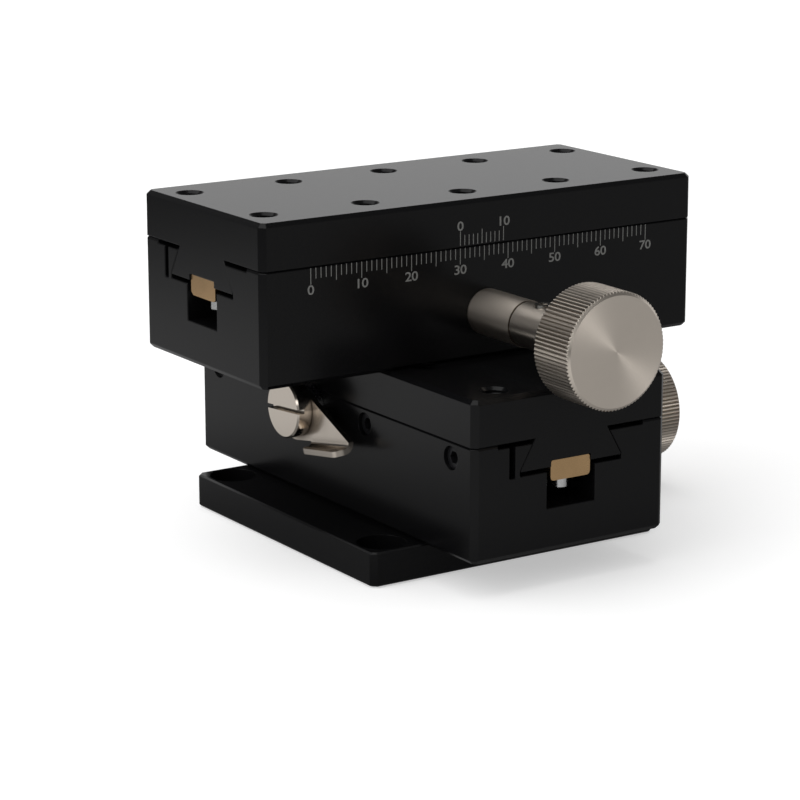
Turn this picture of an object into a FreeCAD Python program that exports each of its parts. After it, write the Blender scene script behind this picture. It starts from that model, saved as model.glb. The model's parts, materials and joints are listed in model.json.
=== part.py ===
"""Manual XY translation stage: two dovetail slides with rack and pinion drives.

The lower slide travels along Y and the upper one along X. Both slides have the same
pieces. Each piece is modelled in a frame of its own and then seated in its slide, whose
frame has "along" on its travel, "across" towards the locking side and "height" up from
the underside of its body. The knob stands on the other side, at negative across.
The origin of the whole is the centre of the base plate's underside, with Z up.
"""
import FreeCAD, Part
import math
import os

import Sketcher

Vector = FreeCAD.Vector
Rotation = FreeCAD.Rotation

DIMENSIONS = [
    # Slides
    ("StageLength", 90.0, "length of a slide along its travel"),
    ("StageWidth", 40.0, "width of a slide"),
    ("TableHeight", 8.0, "thickness of the table above the seam"),
    ("BodyHeight", 20.0, "height of the body up to the seam"),
    ("CornerChamfer", 1.0, "chamfer on the upright corners"),
    ("RimChamfer", 0.7, "chamfer round the table's top and the body's underside"),
    ("SeamChamfer", 0.3, "chamfer on the outer edges at the seam"),
    # Dovetail
    ("DovetailAngle", 60.0, "angle of the dovetail flanks, degrees"),
    ("NeckWidth", 15.0, "width of the tongue at the seam"),
    ("TongueDepth", 5.4, "height of the tongue"),
    ("FootFlat", 0.3, "upright flat at the tongue's sharp edges"),
    ("SlideClearance", 0.08, "gap between faces that slide on each other"),
    ("GrooveGap", 0.7, "free space under the tongue"),
    ("LipWidth", 4.9, "width of the bearing lips beside the seam"),
    ("ReliefDepth", 0.75, "depth of the relief between the lips"),
    ("SlitWidth", 1.2, "width of the slit behind the spring leaf"),
    ("SlitOffset", 12.1, "middle of the slit from the middle of the slide"),
    ("SlitDepth", 6.2, "depth of the slit below the seam"),
    ("ChannelWidth", 10.0, "width of the channel for the rack and pinion"),
    ("ChannelDepth", 12.5, "depth of the channel below the seam"),
    # Tapped holes of the table
    ("TapPitch", 20.0, "pitch of the tapped holes along the table"),
    ("TapRowSpacing", 25.0, "distance of the two rows"),
    ("TapDiameter", 3.3, "core diameter of the M4 threads"),
    # Base plate
    ("PlateSide", 60.0, "side of the square base plate"),
    ("PlateThickness", 6.0, "thickness of the base plate"),
    ("PlateHoleInset", 5.0, "distance of the mounting holes from the plate's sides"),
    ("PlateHoleDiameter", 4.5, "diameter of the mounting holes"),
    ("PlateBoreDiameter", 8.5, "diameter of their counterbores"),
    ("PlateBoreDepth", 4.0, "depth of their counterbores"),
    # Rack
    ("GearModule", 0.5, "module of the rack and pinion"),
    ("PressureAngle", 20.0, "pressure angle, degrees"),
    ("Backlash", 0.06, "play of the teeth at the pitch line"),
    ("RackWidth", 8.2, "width of the rack"),
    ("RackHeight", 3.6, "height of the rack with its teeth"),
    ("RackSeatDepth", 1.1, "depth of the rack's seat in the tongue"),
    ("RackEndInset", 0.3, "distance from the rack's end to the table's end"),
    ("RackEndLand", 4.6, "shortest stretch without teeth at each end"),
    ("RackChamfer", 0.4, "chamfer on the rack's upper long edges"),
    ("StopScrewDiameter", 3.0, "diameter of the stop screws"),
    ("StopScrewLength", 10.0, "length of the stop screws"),
    ("StopScrewInset", 3.4, "distance of a stop screw from the table's end"),
    ("StopScrewStandOut", 2.3, "length that stands out below the rack"),
    ("StopScrewChamfer", 0.3, "chamfer of the tip"),
    # Pinion and its shaft
    ("PinionTeeth", 18, "number of teeth"),
    ("PinionFaceWidth", 7.5, "width of the toothed part"),
    ("PinionHubDiameter", 7.0, "diameter of the plain hub"),
    ("PocketMargin", 0.6, "free space round the pinion in its pocket"),
    ("ShaftDiameter", 5.0, "diameter of the drive shaft"),
    ("ShaftSeat", 6.0, "length of the shaft in the far wall of the channel"),
    ("AxialPlay", 0.1, "gap from the pinion to each wall of the channel"),
    ("SleeveDiameter", 8.2, "outer diameter of the bearing sleeve"),
    ("LowerSleeveReach", 7.2, "length of the sleeve outside the lower body"),
    ("UpperSleeveReach", 12.0, "length of the sleeve outside the upper body, past the lower table"),
    ("EdgeBreak", 0.25, "chamfer of the knob's hub"),
    ("FitGap", 0.02, "radial gap of pieces that are held fast"),
    ("RunningGap", 0.04, "radial gap of pieces that turn"),
    # Knob
    ("KnobDiameter", 20.0, "diameter of the knob over the knurl"),
    ("KnobWidth", 9.5, "width of the knurled disc"),
    ("KnobChamfer", 0.5, "chamfer at both ends of the disc, up to the knurl"),
    ("KnobBore", 4.0, "depth of the shaft inside the disc"),
    ("KnobGap", 0.1, "gap between the hub and the sleeve"),
    ("HubDiameter", 7.8, "diameter of the knob's hub"),
    ("HubLength", 15.2, "length of the knob's hub"),
    ("KnurlCount", 40, "number of grooves of the straight knurl"),
    ("KnurlDepth", 0.35, "depth of a groove"),
    ("KnurlStep", 0.4, "height of the knurled ring above the chamfers"),
    ("KnurlHalfAngle", 48.0, "half the angle of a groove, degrees"),
    ("GrubDiameter", 3.0, "diameter of the grub screw"),
    ("GrubOffset", 4.4, "distance of the grub screw from the hub's end"),
    ("GrubStandOut", 0.4, "length that stands out of the hub"),
    ("GrubSocket", 1.5, "width of its hexagon socket"),
    # Gib screws and lock
    ("GibScrewDrop", 2.9, "distance of the screws below the seam"),
    ("GibScrewInner", 12.0, "place of the two inner screws along the slide"),
    ("GibScrewOuter", 38.4, "place of the two outer screws along the slide"),
    ("GibScrewDiameter", 4.0, "diameter of the gib screws"),
    ("GibScrewRecess", 0.7, "depth of their ends below the side face"),
    ("GibScrewSocket", 2.0, "width of their hexagon sockets"),
    ("SocketDepth", 1.8, "depth of the hexagon sockets"),
    ("ScrewGap", 0.05, "radial gap round the shanks of screws"),
    ("LockOffset", 5.0, "place of the lock screw along the slide"),
    ("LockScrewDiameter", 4.0, "shank diameter of the lock screw"),
    ("LockPadLength", 2.0, "length of the pressure pad"),
    ("LockPadGap", 0.05, "gap from the pad to the screw, and from the collar to the body"),
    ("LockHeadDiameter", 10.6, "diameter of the slotted head"),
    ("LockHeadHeight", 2.9, "height of the slotted head"),
    ("LockHeadChamfer", 0.3, "chamfer of the slotted head"),
    ("LockSlotWidth", 0.8, "width of the slot"),
    ("LockSlotDepth", 1.3, "depth of the slot"),
    ("LockSlotTilt", 4.5, "tilt of the slot, degrees"),
    ("CollarDiameter", 7.5, "outer diameter of the spacer collar"),
    ("CollarLength", 2.4, "distance from the body's side to the lever"),
    ("LeverThickness", 1.0, "thickness of the sheet"),
    ("LeverTilt", 10.0, "slope of the folded edge, degrees"),
    ("LeverEndRadius", 5.2, "radius of the rounded end"),
    ("LeverEndBack", 0.8, "middle of the rounded end behind the pivot"),
    ("LeverEndDrop", 0.8, "middle of the rounded end below the pivot"),
    ("LeverTaper", 33.0, "angle between the upper and the folded edge, degrees"),
    ("LeverEdgeLength", 16.6, "length of the straight upper edge"),
    ("TabStart", 1.0, "start of the finger tab from the pivot"),
    ("TabCorner", 13.5, "deepest place of the tab from the pivot"),
    ("TabEnd", 16.1, "end of the tab from the pivot"),
    ("TabDrop", 2.4, "depth of the tab below the fold"),
    ("TabRimRadius", 40.0, "radius of the tab's long rim"),
    ("TabCornerRadius", 2.4, "radius of the tab's outer corner"),
    ("TabAngle", 60.0, "angle of the fold, degrees"),
    ("FoldRadius", 0.8, "inner radius of the fold"),
]

SIDE = "(Dims.StageWidth / 2)"
STAGE_HEIGHT = "(Dims.BodyHeight + Dims.TableHeight)"
WALL = "(Dims.ChannelWidth / 2)"

# Dovetail
NECK = "(Dims.NeckWidth / 2)"
FLANK_GAP = "(Dims.SlideClearance / sin(Dims.DovetailAngle))"
FOOT = "(Dims.NeckWidth / 2 + (Dims.TongueDepth - Dims.FootFlat) / tan(Dims.DovetailAngle))"
RELIEF_EDGE = f"({NECK} + Dims.ReliefDepth / tan(Dims.DovetailAngle) + {FLANK_GAP})"
SLIT_INNER = "(Dims.SlitOffset - Dims.SlitWidth / 2)"
SLIT_OUTER = "(Dims.SlitOffset + Dims.SlitWidth / 2)"

# Rack and pinion, heights measured from the seam downwards
RACK_TOP = "(Dims.TongueDepth - Dims.RackSeatDepth)"
RACK_BOTTOM = f"({RACK_TOP} + Dims.RackHeight)"
PITCH_RADIUS = "(Dims.GearModule * Dims.PinionTeeth / 2)"
TIP_RADIUS = f"({PITCH_RADIUS} + Dims.GearModule)"
TOOTH_DEPTH = "(2.25 * Dims.GearModule)"
TOOTH_PITCH = "(pi * Dims.GearModule)"
AXLE_DROP = f"({RACK_BOTTOM} - Dims.GearModule + {PITCH_RADIUS})"
AXLE_HEIGHT = f"(Dims.BodyHeight - {AXLE_DROP})"
RACK_HALF = "(Dims.StageLength / 2 - Dims.RackEndInset)"
HALF_GAPS = f"floor(({RACK_HALF} - Dims.RackEndLand) / {TOOTH_PITCH})"
STOP_PLACE = "(Dims.StageLength / 2 - Dims.StopScrewInset)"

# Drive, lengths measured across from the middle of the slide
PINION_HALF = f"({WALL} - Dims.AxialPlay)"
SHAFT_REAR = f"({WALL} + Dims.ShaftSeat)"

# Lock
SCREW_HEIGHT = "(Dims.BodyHeight - Dims.GibScrewDrop)"
LEVER_FACE = f"({SIDE} + Dims.CollarLength)"
PAD_END = f"({SLIT_INNER} + Dims.LockPadLength)"
FOLD_DROP = "(Dims.LeverEndDrop + Dims.LeverEndRadius)"

STAGES = {
    "y": {"turn": 90.0, "base": "Dims.PlateThickness", "reach": "Dims.LowerSleeveReach"},
    "x": {"turn": 0.0, "base": f"Dims.PlateThickness + {STAGE_HEIGHT}", "reach": "Dims.UpperSleeveReach"},
}

FACINGS = {
    "up": Rotation(),
    "knob": Rotation(Vector(1, 0, 0), Vector(0, 0, 1), Vector(0, -1, 0), "ZXY"),
    "lock": Rotation(Vector(-1, 0, 0), Vector(0, 0, 1), Vector(0, 1, 0), "ZXY"),
}

TOLERANCE = 0.001

doc = FreeCAD.newDocument("TranslationStage")
nodes = []


def make_sheet():
    """Spreadsheet with the driving dimensions."""
    sheet = doc.addObject("Spreadsheet::Sheet", "Dims")
    for row, (name, number, note) in enumerate(DIMENSIONS, start=1):
        sheet.set(f"A{row}", name)
        sheet.set(f"B{row}", str(number))
        sheet.set(f"C{row}", note)
        sheet.setAlias(f"B{row}", name)
    doc.recompute()
    return sheet


def size_of(expression):
    """Number that an expression of the dimensions stands for."""
    return float(nodes[0].evalExpression(str(expression)))


def new_body(label):
    """Empty body that becomes one node."""
    body = doc.addObject("PartDesign::Body", label)
    nodes.append(body)
    return body


def seat(body, stage, along="0", across="0", height="0", facing="up", turn="0"):
    """Place a piece in the frame of its slide."""
    slide = STAGES[stage]
    slide_turn = Rotation(Vector(0, 0, 1), slide["turn"])
    own_turn = Rotation(Vector(0, 0, 1), size_of(turn))
    if stage == "y":
        place = (f"-({across})", along)
    else:
        place = (along, across)
    places = {"x": place[0], "y": place[1], "z": f"{slide['base']} + {height}"}
    corner = Vector(*(size_of(places[axis]) for axis in "xyz"))
    body.Placement = FreeCAD.Placement(corner, slide_turn * FACINGS[facing] * own_turn)
    for axis, expression in places.items():
        body.setExpression(f"Placement.Base.{axis}", expression)


def origin_part(body, role):
    """Origin plane or axis of a body."""
    return next(part for part in body.Origin.OriginFeatures if part.Role == role)


def new_sketch(body, plane="XY_Plane", right="0", up="0", out="0", turn="0"):
    """Sketch on an origin plane, shifted inside that plane and out of it."""
    sketch = body.newObject("Sketcher::SketchObject", f"{body.Label}_sketch")
    sketch.AttachmentSupport = [(origin_part(body, plane), "")]
    sketch.MapMode = "FlatFace"
    sketch.AttachmentOffset = FreeCAD.Placement(Vector(), Rotation(Vector(0, 0, 1), size_of(turn)))
    for axis, expression in (("x", right), ("y", up), ("z", out)):
        sketch.setExpression(f"AttachmentOffset.Base.{axis}", expression)
    return sketch


def hold(sketch, kind, geometry, point, expression):
    """Bind one coordinate or radius of a sketch to an expression."""
    number = size_of(expression)
    if kind == "Radius":
        constraint = Sketcher.Constraint(kind, geometry, number)
    else:
        constraint = Sketcher.Constraint(kind, -1, 1, geometry, point, number)
    index = sketch.addConstraint(constraint)
    sketch.setExpression(f"Constraints[{index}]", expression)


def arc_between(start, end, radius, side):
    """Arc of less than half a turn; side is 1 for anticlockwise and -1 for clockwise."""
    chord = end - start
    left = Vector(-chord.y, chord.x, 0).normalize()
    rise = math.sqrt(max(radius ** 2 - (chord.Length / 2) ** 2, 0.0))
    middle = (start + end) * 0.5 + left * (rise * side)
    first, last = (start, end) if side > 0 else (end, start)
    angles = [math.atan2(point.y - middle.y, point.x - middle.x) for point in (first, last)]
    if angles[1] < angles[0]:
        angles[1] += 2 * math.pi
    return Part.ArcOfCircle(Part.Circle(middle, Vector(0, 0, 1), radius), *angles)


def draw_outline(sketch, corners):
    """Closed outline. A corner is (x, y), or (x, y, radius, side) where an arc starts."""
    points = [Vector(size_of(corner[0]), size_of(corner[1]), 0) for corner in corners]
    first = sketch.GeometryCount
    starts = []
    for index, corner in enumerate(corners):
        start = points[index]
        end = points[(index + 1) % len(points)]
        if len(corner) == 4:
            sketch.addGeometry(arc_between(start, end, size_of(corner[2]), corner[3]))
            starts.append(1 if corner[3] > 0 else 2)
        else:
            sketch.addGeometry(Part.LineSegment(start, end))
            starts.append(1)
    for index, corner in enumerate(corners):
        after = (index + 1) % len(corners)
        sketch.addConstraint(Sketcher.Constraint(
            "Coincident", first + index, 3 - starts[index], first + after, starts[after]))
    for index, corner in enumerate(corners):
        hold(sketch, "DistanceX", first + index, starts[index], corner[0])
        hold(sketch, "DistanceY", first + index, starts[index], corner[1])
        if len(corner) == 4:
            hold(sketch, "Radius", first + index, None, corner[2])


def draw_circle(sketch, x, y, diameter):
    """Circle with a bound centre and radius."""
    radius = f"({diameter}) / 2"
    middle = Vector(size_of(x), size_of(y), 0)
    index = sketch.addGeometry(Part.Circle(middle, Vector(0, 0, 1), size_of(radius)))
    hold(sketch, "DistanceX", index, 3, x)
    hold(sketch, "DistanceY", index, 3, y)
    hold(sketch, "Radius", index, 3, radius)


def draw_hexagon(sketch, x, y, width):
    """Regular hexagon of a given width across its flats."""
    corners = []
    for angle in range(0, 360, 60):
        corner_x = f"{x} + {width} / sqrt(3) * cos({angle})"
        corner_y = f"{y} + {width} / sqrt(3) * sin({angle})"
        corners.append((corner_x, corner_y))
    draw_outline(sketch, corners)


def draw_rectangle(sketch, half_x, low_y, high_y):
    """Rectangle that is symmetrical about the sketch's upright axis."""
    corners = [(f"-({half_x})", low_y), (half_x, low_y), (half_x, high_y), (f"-({half_x})", high_y)]
    draw_outline(sketch, corners)


def add_pad(body, sketch, length, symmetric=False):
    """Pad along the sketch's normal, or to both sides."""
    pad = body.newObject("PartDesign::Pad", f"{body.Label}_pad")
    pad.Profile = sketch
    pad.setExpression("Length", length)
    if symmetric:
        pad.SideType = "Symmetric"
    doc.recompute()
    return pad


def check_cut(body, before):
    """Stop if the last feature took nothing away."""
    if body.Shape.Volume > before - TOLERANCE:
        raise RuntimeError(f"{body.Tip.Label} cuts nothing")


def add_pocket(body, sketch, length=None, along_normal=False, symmetric=False):
    """Pocket against the sketch's normal, along it, or to both sides."""
    before = body.Shape.Volume
    pocket = body.newObject("PartDesign::Pocket", f"{body.Label}_pocket")
    pocket.Profile = sketch
    pocket.Reversed = along_normal
    if symmetric:
        pocket.SideType = "Symmetric"
    if length is None:
        pocket.Type = "ThroughAll"
    else:
        pocket.setExpression("Length", length)
    doc.recompute()
    check_cut(body, before)
    return pocket


def add_counterbores(body, sketch, diameter, bore_diameter, bore_depth):
    """Round through holes with counterbored mouths."""
    before = body.Shape.Volume
    doc.recompute()
    hole = body.newObject("PartDesign::Hole", f"{body.Label}_holes")
    hole.Profile = sketch
    doc.recompute()
    hole.DepthType = "ThroughAll"
    hole.setExpression("Diameter", diameter)
    hole.HoleCutType = "Counterbore"
    hole.setExpression("HoleCutDiameter", bore_diameter)
    hole.setExpression("HoleCutDepth", bore_depth)
    doc.recompute()
    check_cut(body, before)
    return hole


def add_revolution(body, sketch, axis="V_Axis"):
    """Solid of revolution about an axis of its sketch."""
    turned = body.newObject("PartDesign::Revolution", f"{body.Label}_turned")
    turned.Profile = sketch
    turned.ReferenceAxis = (sketch, [axis])
    turned.Angle = 360
    doc.recompute()
    return turned


def turn_profile(body, corners, right="0"):
    """Turned piece about its own Z, from corners given as (radius, height)."""
    sketch = new_sketch(body, "XZ_Plane", right=right)
    draw_outline(sketch, corners)
    return add_revolution(body, sketch)


def repeat_line(body, originals, length, count):
    """Row of equal features along X."""
    pattern = body.newObject("PartDesign::LinearPattern", f"{body.Label}_row")
    pattern.Originals = originals
    pattern.Direction = (origin_part(body, "X_Axis"), [""])
    pattern.setExpression("Length", length)
    pattern.setExpression("Occurrences", str(count))
    body.Tip = pattern
    doc.recompute()
    return pattern


def bevel(body, wanted, size):
    """Chamfer on the edges of the last feature whose middle passes the test."""
    feature = body.Tip
    names = []
    for number, edge in enumerate(feature.Shape.Edges, start=1):
        box = edge.BoundBox
        if wanted(box):
            names.append(f"Edge{number}")
    if not names:
        raise RuntimeError(f"no edges for the chamfer of {body.Label}")
    chamfer = body.newObject("PartDesign::Chamfer", f"{body.Label}_chamfer")
    chamfer.Base = (feature, names)
    chamfer.setExpression("Size", size)
    doc.recompute()
    return chamfer


def is_upright_corner(box, half_length, half_width):
    """Upright edge at one of the four outer corners."""
    at_end = abs(abs(box.Center.x) - half_length) < TOLERANCE
    at_side = abs(abs(box.Center.y) - half_width) < TOLERANCE
    return at_end and at_side and box.ZLength > TOLERANCE


def is_rim(box, height):
    """Edge that lies wholly at one height."""
    return box.ZLength < TOLERANCE and abs(box.Center.z - height) < TOLERANCE


def is_outer_rim(box, height, half_length, half_width, margin):
    """Edge at one height, next to the outer faces."""
    outer_end = abs(box.Center.x) > half_length - margin - TOLERANCE
    outer_side = abs(box.Center.y) > half_width - margin - TOLERANCE
    return is_rim(box, height) and (outer_end or outer_side)


def bevel_block(body, half_length, half_width, rim, seam):
    """Chamfers of a milled block: upright corners, outer rim, edges at the seam."""
    corner = size_of("Dims.CornerChamfer")
    bevel(body, lambda box: is_upright_corner(box, half_length, half_width), "Dims.CornerChamfer")
    bevel(body, lambda box: is_rim(box, rim), "Dims.RimChamfer")
    if seam is not None:
        bevel(body, lambda box: is_outer_rim(box, seam, half_length, half_width, corner),
              "Dims.SeamChamfer")


def base_plate():
    """Square plate with four counterbored mounting holes."""
    body = new_body("base_plate")
    outline = new_sketch(body)
    draw_rectangle(outline, "Dims.PlateSide / 2", "-Dims.PlateSide / 2", "Dims.PlateSide / 2")
    add_pad(body, outline, "Dims.PlateThickness")
    half = size_of("Dims.PlateSide / 2")
    bevel(body, lambda box: is_upright_corner(box, half, half), "Dims.CornerChamfer")
    top = size_of("Dims.PlateThickness")
    bevel(body, lambda box: is_rim(box, top), "Dims.SeamChamfer")
    bevel(body, lambda box: is_rim(box, 0.0), "Dims.SeamChamfer")
    mounting = new_sketch(body, out="Dims.PlateThickness")
    place = "(Dims.PlateSide / 2 - Dims.PlateHoleInset)"
    for sign_x in ("", "-"):
        for sign_y in ("", "-"):
            draw_circle(mounting, f"{sign_x}{place}", f"{sign_y}{place}", "Dims.PlateHoleDiameter")
    add_counterbores(body, mounting, "Dims.PlateHoleDiameter", "Dims.PlateBoreDiameter",
                     "Dims.PlateBoreDepth")
    return body


def slide_body(stage):
    """Body with its dovetail groove, spring leaf, channel and bores."""
    body = new_body(f"{stage}_body")
    seat(body, stage)
    seam = "(Dims.BodyHeight - Dims.SlideClearance)"
    relief = "(Dims.BodyHeight - Dims.ReliefDepth)"
    foot_level = "(Dims.BodyHeight - Dims.TongueDepth + Dims.FootFlat)"
    floor = "(Dims.BodyHeight - Dims.TongueDepth - Dims.GrooveGap)"
    channel = "(Dims.BodyHeight - Dims.ChannelDepth)"
    slit = "(Dims.BodyHeight - Dims.SlitDepth)"
    groove = f"({FOOT} + {FLANK_GAP})"
    lip = f"({SIDE} - Dims.LipWidth)"
    profile = new_sketch(body, "YZ_Plane")
    draw_outline(profile, [
        (f"-{SIDE}", "0"),
        (SIDE, "0"),
        (SIDE, seam),
        (lip, seam),
        (lip, relief),
        (SLIT_OUTER, relief),
        (SLIT_OUTER, slit),
        (SLIT_INNER, slit),
        (SLIT_INNER, relief),
        (RELIEF_EDGE, relief),
        (groove, foot_level),
        (groove, floor),
        (WALL, floor),
        (WALL, channel),
        (f"-{WALL}", channel),
        (f"-{WALL}", floor),
        (f"-{groove}", floor),
        (f"-{groove}", foot_level),
        (f"-{RELIEF_EDGE}", relief),
        (f"-{lip}", relief),
        (f"-{lip}", seam),
        (f"-{SIDE}", seam),
    ])
    add_pad(body, profile, "Dims.StageLength", symmetric=True)
    bevel_block(body, size_of("Dims.StageLength / 2"), size_of(SIDE), 0.0, size_of(seam))
    cut_pinion_pocket(body, channel)
    drill_drive_bores(body)
    drill_gib_holes(body)
    return body


def cut_pinion_pocket(body, channel):
    """Milled pocket in the channel's floor under the pinion."""
    pocket = new_sketch(body, out=channel)
    draw_rectangle(pocket, f"{TIP_RADIUS} + Dims.PocketMargin", f"-{WALL}", WALL)
    add_pocket(body, pocket, f"{channel} - {AXLE_HEIGHT} + {TIP_RADIUS} + Dims.PocketMargin / 2")


def drill_drive_bores(body):
    """Bore for the bearing sleeve on the knob side, and blind bore for the shaft's end."""
    sleeve = new_sketch(body, "XZ_Plane", up=AXLE_HEIGHT)
    draw_circle(sleeve, "0", "0", "Dims.SleeveDiameter + 2 * Dims.FitGap")
    add_pocket(body, sleeve, along_normal=True)
    shaft_end = new_sketch(body, "XZ_Plane", up=AXLE_HEIGHT)
    draw_circle(shaft_end, "0", "0", "Dims.ShaftDiameter + 2 * Dims.RunningGap")
    add_pocket(body, shaft_end, f"{SHAFT_REAR} + Dims.AxialPlay")


def drill_gib_holes(body):
    """Holes for the gib screws and the lock screw, from the side face into the slit."""
    holes = new_sketch(body, "XZ_Plane", up=SCREW_HEIGHT, out="-Dims.SlitOffset")
    for place in ("Dims.GibScrewInner", "Dims.GibScrewOuter"):
        for sign in ("", "-"):
            draw_circle(holes, f"{sign}{place}", "0", "Dims.GibScrewDiameter + 2 * Dims.ScrewGap")
    draw_circle(holes, "Dims.LockOffset", "0", "Dims.LockScrewDiameter + 2 * Dims.ScrewGap")
    add_pocket(body, holes)


def slide_table(stage):
    """Table with the dovetail tongue, the rack's seat and the grid of tapped holes."""
    body = new_body(f"{stage}_table")
    seat(body, stage, height="Dims.BodyHeight")
    rack_seat = "(Dims.RackWidth / 2 + Dims.FitGap)"
    foot_level = "-(Dims.TongueDepth - Dims.FootFlat)"
    profile = new_sketch(body, "YZ_Plane")
    draw_outline(profile, [
        (f"-{SIDE}", "0"),
        (f"-{NECK}", "0"),
        (f"-{FOOT}", foot_level),
        (f"-{FOOT}", "-Dims.TongueDepth"),
        (f"-{rack_seat}", "-Dims.TongueDepth"),
        (f"-{rack_seat}", f"-{RACK_TOP}"),
        (rack_seat, f"-{RACK_TOP}"),
        (rack_seat, "-Dims.TongueDepth"),
        (FOOT, "-Dims.TongueDepth"),
        (FOOT, foot_level),
        (NECK, "0"),
        (SIDE, "0"),
        (SIDE, "Dims.TableHeight"),
        (f"-{SIDE}", "Dims.TableHeight"),
    ])
    add_pad(body, profile, "Dims.StageLength", symmetric=True)
    bevel_block(body, size_of("Dims.StageLength / 2"), size_of(SIDE), size_of("Dims.TableHeight"), None)
    taps = new_sketch(body, out="Dims.TableHeight")
    for column in range(-2, 3):
        for sign in ("", "-"):
            draw_circle(taps, f"{column} * Dims.TapPitch", f"{sign}Dims.TapRowSpacing / 2",
                        "Dims.TapDiameter")
    add_pocket(body, taps)
    drill_tongue(body)
    return body


def drill_tongue(body):
    """Blind holes in the tongue for the stop screws."""
    stops = new_sketch(body, out=f"-{RACK_TOP}")
    for sign in ("", "-"):
        draw_circle(stops, f"{sign}{STOP_PLACE}", "0", "Dims.StopScrewDiameter + 2 * Dims.FitGap")
    depth = "Dims.StopScrewLength - Dims.StopScrewStandOut - Dims.RackHeight + Dims.AxialPlay"
    add_pocket(body, stops, depth, along_normal=True)


def rack(stage):
    """Brass rack, teeth down, with a hole at each end for the screws that hold it."""
    body = new_body(f"{stage}_rack")
    seat(body, stage, height=f"Dims.BodyHeight - {RACK_TOP}")
    half = "(Dims.RackWidth / 2)"
    inner = f"({half} - Dims.RackChamfer)"
    profile = new_sketch(body, "YZ_Plane")
    draw_outline(profile, [
        (f"-{inner}", "0"),
        (f"-{half}", "-Dims.RackChamfer"),
        (f"-{half}", "-Dims.RackHeight"),
        (half, "-Dims.RackHeight"),
        (half, "-Dims.RackChamfer"),
        (inner, "0"),
    ])
    add_pad(body, profile, f"2 * {RACK_HALF}", symmetric=True)
    cut_rack_teeth(body)
    stops = new_sketch(body)
    for sign in ("", "-"):
        draw_circle(stops, f"{sign}{STOP_PLACE}", "0", "Dims.StopScrewDiameter + 2 * Dims.FitGap")
    add_pocket(body, stops)
    return body


def cut_rack_teeth(body):
    """Gaps between the teeth, one of them at the middle of the rack."""
    slope = "tan(Dims.PressureAngle)"
    half_gap = f"({TOOTH_PITCH} / 4 + Dims.Backlash / 2)"
    over = "0.2"
    tip = f"({half_gap} + (Dims.GearModule + {over}) * {slope})"
    root = f"({half_gap} - ({TOOTH_DEPTH} - Dims.GearModule) * {slope})"
    bottom = f"-Dims.RackHeight - {over}"
    top = f"-Dims.RackHeight + {TOOTH_DEPTH}"
    gap = new_sketch(body, "XZ_Plane", right=f"-{HALF_GAPS} * {TOOTH_PITCH}")
    draw_outline(gap, [(f"-{tip}", bottom), (tip, bottom), (root, top), (f"-{root}", top)])
    cut = add_pocket(body, gap, symmetric=True)
    before = body.Shape.Volume
    repeat_line(body, [cut], f"2 * {HALF_GAPS} * {TOOTH_PITCH}", f"2 * {HALF_GAPS} + 1")
    check_cut(body, before)


def stop_screws(stage):
    """Two screws that hold the rack, with long tips that meet the pinion at the ends of the travel."""
    body = new_body(f"{stage}_stop_screws")
    seat(body, stage, along=f"-{STOP_PLACE}",
         height=f"Dims.BodyHeight - {RACK_BOTTOM} - Dims.StopScrewStandOut")
    radius = "(Dims.StopScrewDiameter / 2)"
    screw = turn_profile(body, [
        ("0", "0"),
        (f"{radius} - Dims.StopScrewChamfer", "0"),
        (radius, "Dims.StopScrewChamfer"),
        (radius, "Dims.StopScrewLength"),
        ("0", "Dims.StopScrewLength"),
    ])
    repeat_line(body, [screw], f"2 * {STOP_PLACE}", 2)
    return body


def sleeve_end(stage):
    """Outer end of the bearing sleeve, from the middle of the slide."""
    return f"({SIDE} + {STAGES[stage]['reach']})"


def hub_start(stage):
    """Inner end of the knob's hub, from the middle of the slide."""
    return f"({sleeve_end(stage)} + Dims.KnobGap)"


def bearing_sleeve(stage):
    """Sleeve pressed into the knob side, which carries the drive shaft."""
    body = new_body(f"{stage}_bearing_sleeve")
    seat(body, stage, across=f"-{WALL}", height=AXLE_HEIGHT, facing="knob")
    bore = "(Dims.ShaftDiameter / 2 + Dims.RunningGap)"
    outer = "(Dims.SleeveDiameter / 2)"
    length = f"({sleeve_end(stage)} - {WALL})"
    turn_profile(body, [
        (bore, "0"),
        (outer, "0"),
        (outer, length),
        (bore, length),
    ])
    return body


def drive_shaft(stage):
    """Shaft from the far wall of the channel to inside the knob."""
    body = new_body(f"{stage}_drive_shaft")
    seat(body, stage, across=SHAFT_REAR, height=AXLE_HEIGHT, facing="knob")
    section = new_sketch(body)
    draw_circle(section, "0", "0", "Dims.ShaftDiameter")
    add_pad(body, section, f"{SHAFT_REAR} + {hub_start(stage)} + Dims.HubLength + Dims.KnobBore")
    return body


def involute_points(tip_radius, base_radius):
    """Start, middle and end of an involute from the base to the tip circle, as (radius, angle)."""
    last = math.sqrt((tip_radius / base_radius) ** 2 - 1)
    rolls = (0.0, 0.6 * last, last)
    return [(base_radius * math.sqrt(1 + roll ** 2), roll - math.atan(roll)) for roll in rolls]


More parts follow.
